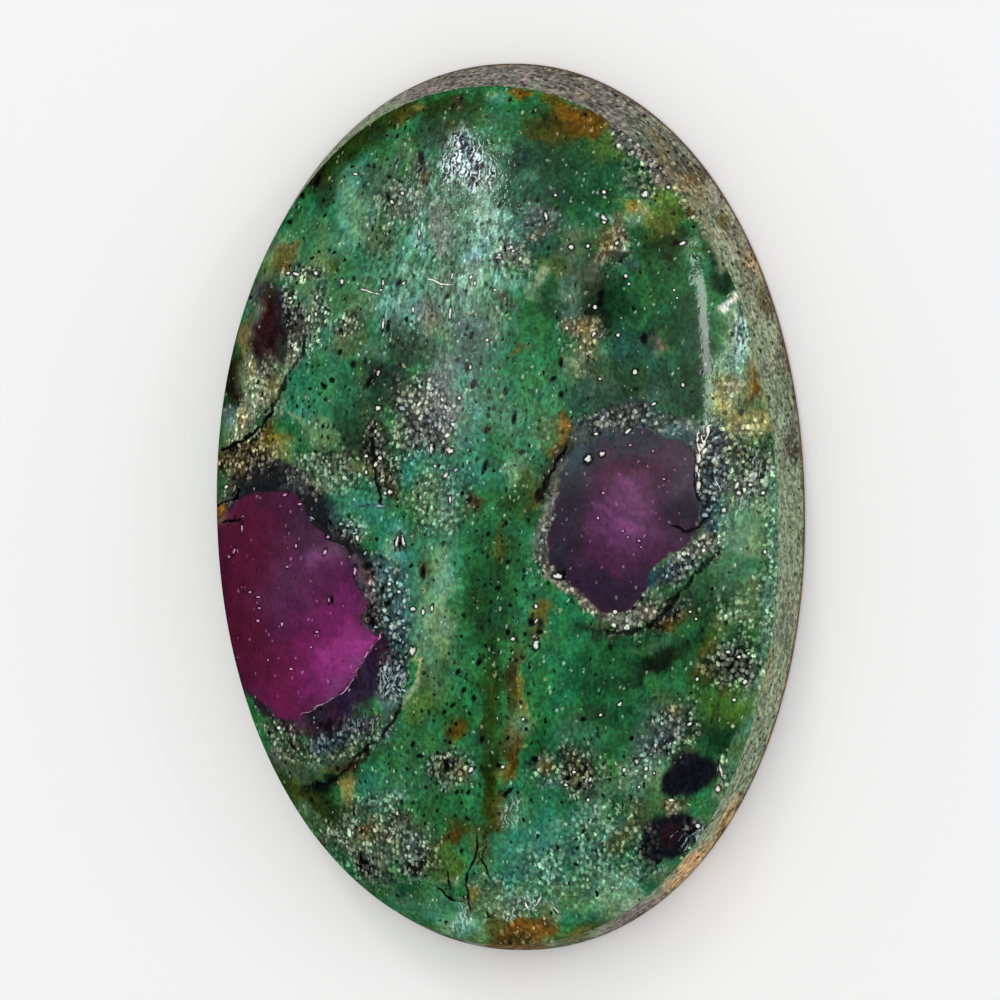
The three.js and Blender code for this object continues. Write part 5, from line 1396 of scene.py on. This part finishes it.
class Graph:
    """Short calls for building a material's nodes."""

    def __init__(self, name):
        self.material = bpy.data.materials.new(name)
        self.material.use_nodes = True
        self.tree = self.material.node_tree
        self.shader = self.tree.nodes["Principled BSDF"]
        leaning = self.node("ShaderNodeVectorRotate", rotation_type="Z_AXIS")
        self.put(leaning.inputs["Vector"], self.node("ShaderNodeTexCoord").outputs["Object"])
        leaning.inputs["Angle"].default_value = GRAIN_LEAN
        self.place = leaning.outputs[0]

    def node(self, kind, **settings):
        """A new node with its settings."""
        node = self.tree.nodes.new(kind)
        for name, value in settings.items():
            setattr(node, name, value)
        return node

    def put(self, socket, value):
        """Links a socket, or sets its value."""
        if isinstance(value, bpy.types.NodeSocket):
            self.tree.links.new(value, socket)
        else:
            socket.default_value = value

    def layer(self, name, output="Fac"):
        """A painted value of the mesh."""
        return self.node("ShaderNodeAttribute", attribute_name=name).outputs[output]

    def math(self, operation, first, second=0.0, third=0.0):
        """One step of arithmetic on up to three values or sockets."""
        node = self.node("ShaderNodeMath", operation=operation)
        for socket, value in zip(node.inputs, (first, second, third)):
            self.put(socket, value)
        return node.outputs[0]

    def times(self, first, second):
        """The product of two values or sockets."""
        return self.math("MULTIPLY", first, second)

    def rising(self, value, at_none, at_full):
        """One number where the value is 0, another where it is 1, in proportion between them."""
        return self.math("MULTIPLY_ADD", value, at_full - at_none, at_none)

    def between(self, low, high, value):
        """0 below low, 1 above high, smooth in between; the other way round where low is the higher one."""
        node = self.node("ShaderNodeMapRange", interpolation_type="SMOOTHSTEP")
        self.put(node.inputs["Value"], value)
        self.put(node.inputs["From Min"], low)
        self.put(node.inputs["From Max"], high)
        return node.outputs["Result"]

    def scaled(self, vector, factors):
        """The vector with each part multiplied by its own factor."""
        node = self.node("ShaderNodeVectorMath", operation="MULTIPLY")
        self.put(node.inputs[0], vector)
        node.inputs[1].default_value = factors
        return node.outputs[0]

    def grains(self, pattern):
        """Object coordinates counted in the pattern's grains."""
        across, along = pattern
        return self.scaled(self.place, (across / MM, along / MM, across / MM))

    def noise(self, vector, detail=2.0, roughness=0.5):
        """Cloudy noise from 0 to 1."""
        node = self.node("ShaderNodeTexNoise")
        self.put(node.inputs["Vector"], vector)
        node.inputs["Scale"].default_value = 1.0
        node.inputs["Detail"].default_value = detail
        node.inputs["Roughness"].default_value = roughness
        return node.outputs["Fac"]

    def warped(self, vector, depth):
        """The vector, moved about by noise, so that what it draws gets uneven outlines."""
        noise = self.node("ShaderNodeTexNoise")
        self.put(noise.inputs["Vector"], vector)
        noise.inputs["Scale"].default_value = WARP_SCALE
        noise.inputs["Detail"].default_value = 1.0
        node = self.node("ShaderNodeVectorMath", operation="MULTIPLY_ADD")
        self.put(node.inputs[0], noise.outputs["Color"])
        node.inputs[1].default_value = (depth, depth, depth)
        self.put(node.inputs[2], vector)
        return node.outputs[0]

    def cells(self, vector, warp):
        """Distance to the nearest of scattered points, and three random numbers for each."""
        node = self.node("ShaderNodeTexVoronoi", voronoi_dimensions="2D")
        self.put(node.inputs["Vector"], self.warped(vector, warp))
        node.inputs["Scale"].default_value = 1.0
        random = self.node("ShaderNodeSeparateColor")
        self.put(random.inputs[0], node.outputs["Color"])
        return node.outputs["Distance"], *random.outputs[:3]

    def mix(self, factor, first, second, blend="MIX"):
        """The first colour with the second laid over it."""
        node = self.node("ShaderNodeMix", data_type="RGBA", blend_type=blend)
        self.put(node.inputs[0], factor)
        self.put(node.inputs[6], first)
        self.put(node.inputs[7], second)
        return node.outputs[2]

    def over(self, colour, name, cover=1.0, strength=1.0):
        """The colour with a palette colour laid over it."""
        return self.mix(self.times(cover, strength), colour, paint_colour(name))

    def gain(self, colour, factor):
        """The colour made brighter or darker."""
        node = self.node("ShaderNodeVectorMath", operation="SCALE")
        self.put(node.inputs[0], colour)
        self.put(node.inputs["Scale"], factor)
        return node.outputs[0]

    def parts(self, vector):
        """The three parts of a vector."""
        node = self.node("ShaderNodeSeparateXYZ")
        self.put(node.inputs[0], vector)
        return node.outputs

    def deepened(self, colour):
        """The painted colour as it looks under the polish."""
        node = self.node("ShaderNodeGamma")
        self.put(node.inputs["Color"], colour)
        node.inputs["Gamma"].default_value = POLISH_CONTRAST
        return self.mix(1.0, self.gain(node.outputs[0], POLISH_GAIN), POLISH_TINT, blend="MULTIPLY")

    def vivid(self, colour, saturation):
        """The colour with its saturation changed."""
        node = self.node("ShaderNodeHueSaturation")
        self.put(node.inputs["Color"], colour)
        node.inputs["Saturation"].default_value = saturation
        return node.outputs[0]

    def bump(self, height, strength, distance):
        """A surface direction with fine relief."""
        node = self.node("ShaderNodeBump")
        self.put(node.inputs["Height"], height)
        node.inputs["Strength"].default_value = strength
        node.inputs["Distance"].default_value = distance
        return node.outputs[0]


def paint_colour(name):
    """A palette colour as a socket takes it."""
    return (*linear(name), 1.0)


def specks(graph, vector, size, amount):
    """Small scattered dots: a share of the grains, each up to a size given in shares of their spacing."""
    distance, chance, breadth, strength = graph.cells(vector, SPECK_WARP)
    radius = graph.rising(breadth, LEAST_SPECK * size, size)
    dot = graph.between(*SPECK_EDGE, graph.math("DIVIDE", distance, radius))
    dot = graph.times(dot, graph.math("LESS_THAN", chance, amount))
    return graph.times(dot, graph.rising(strength, *SPECK_STRENGTH))


def clouded(graph, colour, depth):
    """The colour with slow, soft changes of brightness."""
    cloud = graph.noise(graph.grains(CLOUDS), detail=3.0, roughness=0.55)
    return graph.gain(colour, graph.rising(cloud, 1 - depth / 2, 1 + depth / 2))


def tinted(graph, colour):
    """The colour with slow changes towards blue and towards olive."""
    tint = graph.between(*TINT_SPAN, graph.noise(graph.grains(TINTS), detail=3.0))
    return graph.mix(1.0, colour, graph.mix(tint, BLUE_TINT, OLIVE_TINT), blend="MULTIPLY")


def grainy(graph, colour, grain, amount):
    """The colour broken up by fine grain into darker and paler."""
    dark, pale = (graph.gain(colour, shade) for shade in GRAIN_SHADES)
    return graph.mix(amount, colour, graph.mix(graph.between(*GRAIN_SPAN, grain), dark, pale))


def streaked_with_sheen(graph, colour, amount):
    """The colour broken up by fine upright streaks, paler towards frost and darker: partly painted sheen,
    partly pale rock.
    """
    dark_shade, pale_shade = STREAK_SHADES
    dark = graph.gain(colour, dark_shade)
    pale = graph.gain(graph.over(colour, "frost", strength=0.35), pale_shade)
    grain = graph.noise(graph.grains(STREAK_GRAIN), detail=2.0, roughness=0.6)
    patches = graph.between(*PATCH_SPAN, graph.noise(graph.grains(STREAK_PATCHES)))
    streaks = graph.mix(graph.between(*STREAK_SPAN, grain), dark, pale)
    return graph.mix(graph.times(amount, graph.rising(patches, *STREAK_AMOUNT)), colour, streaks)


def stroked_with_glints(graph, colour, amount):
    """The colour crossed by short, wavy upright strokes of white and black, painted highlight in reflections.
    """
    waves = graph.node("ShaderNodeTexWave", wave_type="BANDS", bands_direction="X")
    graph.put(waves.inputs["Vector"], graph.grains(STROKES))
    waves.inputs["Scale"].default_value = 1.0
    waves.inputs["Distortion"].default_value = 9.0
    waves.inputs["Detail"].default_value = 2.0
    waves.inputs["Detail Scale"].default_value = 3.0
    band = waves.outputs["Fac"]
    dashes = graph.between(*DASH_SPAN, graph.noise(graph.grains(STROKE_DASHES), detail=1.0))
    dark = graph.times(graph.between(*BLACK_STROKE_SPAN, band), amount)
    colour = graph.over(colour, "ink", dark, strength=0.85)
    pale = graph.times(graph.times(graph.between(*WHITE_STROKE_SPAN, band), dashes), amount)
    return graph.over(colour, "glint", pale)


def pebbled(graph, colour, speckle):
    """The colour broken up into small rounded grains of differing brightness, where it is speckled."""
    distance, light, breadth, _ = graph.cells(graph.grains(PEBBLES), PEBBLE_WARP)
    radius = graph.rising(breadth, *PEBBLE_RADIUS)
    grain = graph.between(*PEBBLE_EDGE, graph.math("DIVIDE", distance, radius))
    brightness = graph.rising(graph.math("POWER", light, 3.0), *PEBBLE_BRIGHTNESS)
    clumps = graph.between(*PATCH_SPAN, graph.noise(graph.grains(PEBBLE_CLUMPS)))
    brightness = graph.times(brightness, graph.rising(clumps, *CLUMP_BRIGHTNESS))
    greyed = graph.over(colour, "grain_grey", strength=0.55)
    grains = graph.mix(grain, graph.gain(colour, PEBBLE_GAPS), graph.gain(greyed, brightness))
    return graph.mix(speckle, colour, grains)


def marked(graph, colour, name, edge_shift):
    """The colour with small marks or fine lines drawn in it, each in a thin dark ring of painted shadow."""
    inside = graph.layer(name, "Vector")
    length = graph.node("ShaderNodeVectorMath", operation="LENGTH")
    graph.put(length.inputs[0], graph.scaled(inside, (1.0, 1.0, 0.0)))
    distance = graph.math("ADD", length.outputs["Value"], edge_shift)
    known = graph.math("GREATER_THAN", graph.parts(inside)[2], KNOWN_ABOVE)
    # The dark ring round each mark is painted shadow.
    rim_shadow = graph.times(graph.between(*RIM_SHADOW_EDGE, distance), known)
    colour = graph.over(colour, "ink", rim_shadow, strength=0.8)
    cover = graph.times(graph.between(*MARK_EDGE, distance), known)
    return graph.mix(cover, colour, graph.layer(name + "_colour", "Color"))


def with_lines_and_marks(graph, colour):
    """The colour with the cracks, the fine lines and the small marks drawn in it."""
    # Ink along each crack darkens it: partly painted shade in its hollow, partly the dark crack itself.
    crack_shift = graph.rising(graph.noise(graph.grains(CRACK_RAGGED)), *CRACK_EDGE_SHIFT)
    crack = graph.between(*CRACK_EDGE, graph.math("ADD", graph.layer("crack"), crack_shift))
    colour = graph.over(colour, "ink", crack, strength=0.85)
    seam_shift = graph.rising(graph.noise(graph.grains(SEAM_RAGGED)), *SEAM_EDGE_SHIFT)
    colour = marked(graph, colour, "seam", seam_shift)
    mark_shift = graph.rising(graph.noise(graph.grains(MARK_RAGGED)), *MARK_EDGE_SHIFT)
    for number in range(MARK_LAYERS):
        colour = marked(graph, colour, f"mark{number}", mark_shift)
    return colour


def with_rubies(graph, colour):
    """The colour with the ruby grains let into it."""
    edge_shift = graph.rising(graph.noise(graph.grains(RUBY_RAGGED)), *RUBY_EDGE_SHIFT)
    in_ruby = graph.between(*RUBY_EDGE, graph.math("ADD", graph.layer("ruby"), edge_shift))
    return graph.mix(in_ruby, colour, ruby_colour(graph))


def ruby_colour(graph):
    """The ruby's own colour, cloudy and finely grained, with pink flecks and black specks."""
    cloud = graph.noise(graph.grains(RUBY_CLOUDS), detail=4.0, roughness=0.6)
    colour = graph.gain(graph.layer("ruby_tone", "Color"), graph.rising(cloud, *RUBY_CLOUD_BRIGHTNESS))
    fine = graph.noise(graph.grains(FINE_GRAIN), detail=1.0)
    colour = graph.gain(colour, graph.rising(fine, *RUBY_GRAIN_BRIGHTNESS))
    pale = specks(graph, graph.grains(RUBY_FLECKS), size=0.38, amount=0.06)
    colour = graph.over(colour, "pink_fleck", pale, strength=0.5)
    black = specks(graph, graph.grains(RUBY_SPECKS), size=0.22, amount=0.12)
    return graph.over(colour, "ink", black, strength=0.6)


def polished_face():
    """The dome: painted rock broken up by grain, flecks and specks, with painted sheen and highlight, under a
    clear polish.
    """
    graph = Graph("polished_face")
    rock = graph.layer("rock", "Color")
    speckle = graph.layer("speckle")
    fine = graph.noise(graph.grains(FINE_GRAIN), detail=1.0)

    colour = tinted(graph, clouded(graph, rock, depth=1.42))
    colour = grainy(graph, colour, fine, graph.rising(speckle, *GRAIN_AMOUNT))
    colour = streaked_with_sheen(graph, colour, graph.layer("streaks"))
    colour = pebbled(graph, colour, graph.times(speckle, 0.85))

    grey = graph.node("ShaderNodeRGBToBW")
    graph.put(grey.inputs[0], rock)
    lit = graph.between(*LIT_ROCK, grey.outputs[0])
    dots = specks(graph, graph.grains(PALE_DOTS), size=0.3, amount=graph.times(lit, 0.04))
    colour = graph.over(colour, "cream", dots, strength=0.6)
    trails = graph.between(*TRAIL_SPAN, graph.noise(graph.grains(FLECK_TRAILS), detail=3.0))
    amount = graph.math("MULTIPLY_ADD", speckle, SPECKLE_FLECKS, graph.rising(trails, *FLECK_AMOUNT))
    flecks = specks(graph, graph.grains(FLECKS), size=0.46, amount=graph.times(amount, lit))
    bright = graph.gain(graph.over(colour, "white", strength=0.3), FLECK_GAIN)
    colour = graph.mix(flecks, colour, bright)
    black_amount = graph.rising(graph.layer("pepper"), *BLACK_AMOUNT)
    black = specks(graph, graph.grains(BLACK_SPECKS), size=0.42, amount=black_amount)
    colour = graph.over(colour, "ink", black)

    colour = graph.vivid(stroked_with_glints(graph, colour, graph.layer("strokes")), SATURATION)
    colour = with_lines_and_marks(graph, with_rubies(graph, colour))

    rough = graph.rising(speckle, *RELIEF_AMOUNT)
    rough = graph.math("MULTIPLY_ADD", graph.layer("streaks"), STREAK_RELIEF, rough)
    height = graph.times(graph.math("SUBTRACT", fine, black), rough)
    bump = graph.bump(height, strength=0.9, distance=FACE_RELIEF)
    graph.put(graph.shader.inputs["Base Color"], graph.deepened(colour))
    graph.put(graph.shader.inputs["Roughness"], graph.rising(speckle, *FACE_ROUGHNESS))
    graph.put(graph.shader.inputs["Normal"], bump)
    graph.put(graph.shader.inputs["Coat Normal"], bump)
    graph.shader.inputs["IOR"].default_value = 1.58
    graph.shader.inputs["Specular IOR Level"].default_value = 0.25
    graph.shader.inputs["Coat Weight"].default_value = 0.7
    graph.shader.inputs["Coat Roughness"].default_value = 0.06
    return graph.material


def ground_side():
    """The wall and the back: matt, gritty rock with the lines of its grinding."""
    graph = Graph("ground_side")
    grind = graph.layer("grind", "Vector")
    lines = graph.noise(graph.scaled(grind, GRIND_LINES), detail=3.0, roughness=0.6)
    grit = graph.noise(graph.grains(WALL_GRIT), detail=3.0, roughness=0.65)

    stain = graph.between(*STAIN_SPAN, graph.noise(graph.grains(WALL_STAINS), detail=3.0))
    colour = graph.over(graph.layer("rock", "Color"), "wall_dark", stain, strength=0.25)
    rusty = graph.between(*RUST_SPAN, graph.noise(graph.grains(WALL_RUST), detail=4.0))
    colour = graph.over(colour, "wall_rust", rusty, strength=0.45)
    colour = grainy(graph, grainy(graph, colour, grit, amount=0.5), lines, amount=0.32)
    black_amount = graph.rising(graph.layer("pepper"), *WALL_BLACK_AMOUNT)
    black = specks(graph, graph.scaled(grind, GRIND_BLACK), size=0.5, amount=black_amount)
    colour = graph.over(colour, "ink", black, strength=0.85)
    white = specks(graph, graph.scaled(grind, GRIND_WHITE), size=0.5, amount=0.4)
    colour = graph.over(colour, "cream", white, strength=0.75)
    # A brown band along the bottom of the wall is painted shade, where the stone meets the floor.
    foot_shade = graph.between(*FOOT_SHADE_EDGE, graph.parts(grind)[1])
    colour = graph.over(colour, "foot_shade_brown", foot_shade, strength=0.85)

    height = graph.math("SUBTRACT", graph.math("ADD", lines, grit), black)
    graph.put(graph.shader.inputs["Base Color"], graph.deepened(colour))
    graph.shader.inputs["Roughness"].default_value = 0.75
    graph.put(graph.shader.inputs["Normal"], graph.bump(height, strength=0.6, distance=WALL_RELIEF))
    return graph.material


# ---------------------------------------------------------------- floor and light


def make_floor():
    """A plain pale floor under the stone."""
    material = bpy.data.materials.new("floor")
    material.use_nodes = True
    shader = material.node_tree.nodes["Principled BSDF"]
    shader.inputs["Base Color"].default_value = (*FLOOR_WHITE, 1)
    shader.inputs["Roughness"].default_value = 0.9
    shader.inputs["Specular IOR Level"].default_value = 0.1
    half = FLOOR_SIDE / 2
    mesh = bpy.data.meshes.new("floor")
    corners = [(-half, -half, 0), (half, -half, 0), (half, half, 0), (-half, half, 0)]
    mesh.from_pydata(corners, [], [(0, 1, 2, 3)])
    mesh.materials.append(material)
    floor = bpy.data.objects.new("floor", mesh)
    bpy.context.scene.collection.objects.link(floor)
    floor.visible_glossy = False


def make_world():
    """Even white light from all round, which the polish doesn't mirror."""
    world = bpy.data.worlds.new("studio")
    world.use_nodes = True
    background = world.node_tree.nodes["Background"]
    background.inputs["Color"].default_value = (1, 1, 1, 1)
    background.inputs["Strength"].default_value = WORLD_STRENGTH
    world.cycles_visibility.glossy = False
    bpy.context.scene.world = world


def dome_z(x, y):
    """Height of the dome, with its waves, at a plan point."""
    reach = float(reach_at(x, y))
    return float(dome_height(reach)) - (1 - min(reach, 1) ** FADE_POWER) * WAVE_DEPTH * float(waves_at(x, y))


def dome_normal(point):
    """Direction that the dome faces at a point."""
    step = SLOPE_STEP
    slope_x = (dome_z(point.x + step, point.y) - dome_z(point.x - step, point.y)) / (2 * step)
    slope_y = (dome_z(point.x, point.y + step) - dome_z(point.x, point.y - step)) / (2 * step)
    return Vector((-slope_x, -slope_y, 1)).normalized()


def mirror_direction(point):
    """Direction from which light reaches the camera off the polished dome at a point."""
    normal = dome_normal(point)
    to_eye = (EYE - point).normalized()
    return 2 * normal.dot(to_eye) * normal - to_eye


def light_seen_at(name, first_pixel, last_pixel, width, brightness):
    """A panel whose reflection in the dome runs from one pixel to another; its width is in millimetres."""
    points = [dome_point(*pixel) for pixel in (first_pixel, last_pixel)]
    first, last = (point + LIGHT_DISTANCE * mirror_direction(point) for point in points)
    middle = (first + last) / 2
    facing = middle.normalized()
    across = (last - first).normalized().cross(facing).normalized()
    data = bpy.data.lights.new(name, "AREA")
    data.shape = "RECTANGLE"
    data.size = width * MM
    data.size_y = (last - first).length * MM
    data.energy = brightness * math.pi * data.size * data.size_y
    light = bpy.data.objects.new(name, data)
    axes = Matrix((across, facing.cross(across), facing)).transposed().to_4x4()
    light.matrix_world = Matrix.Translation(middle * MM) @ axes
    bpy.context.scene.collection.objects.link(light)


make_camera()
make_floor()
make_world()
for panel in PANELS:
    light_seen_at(*panel)
make_stone()
bpy.context.scene.view_settings.view_transform = "Standard"
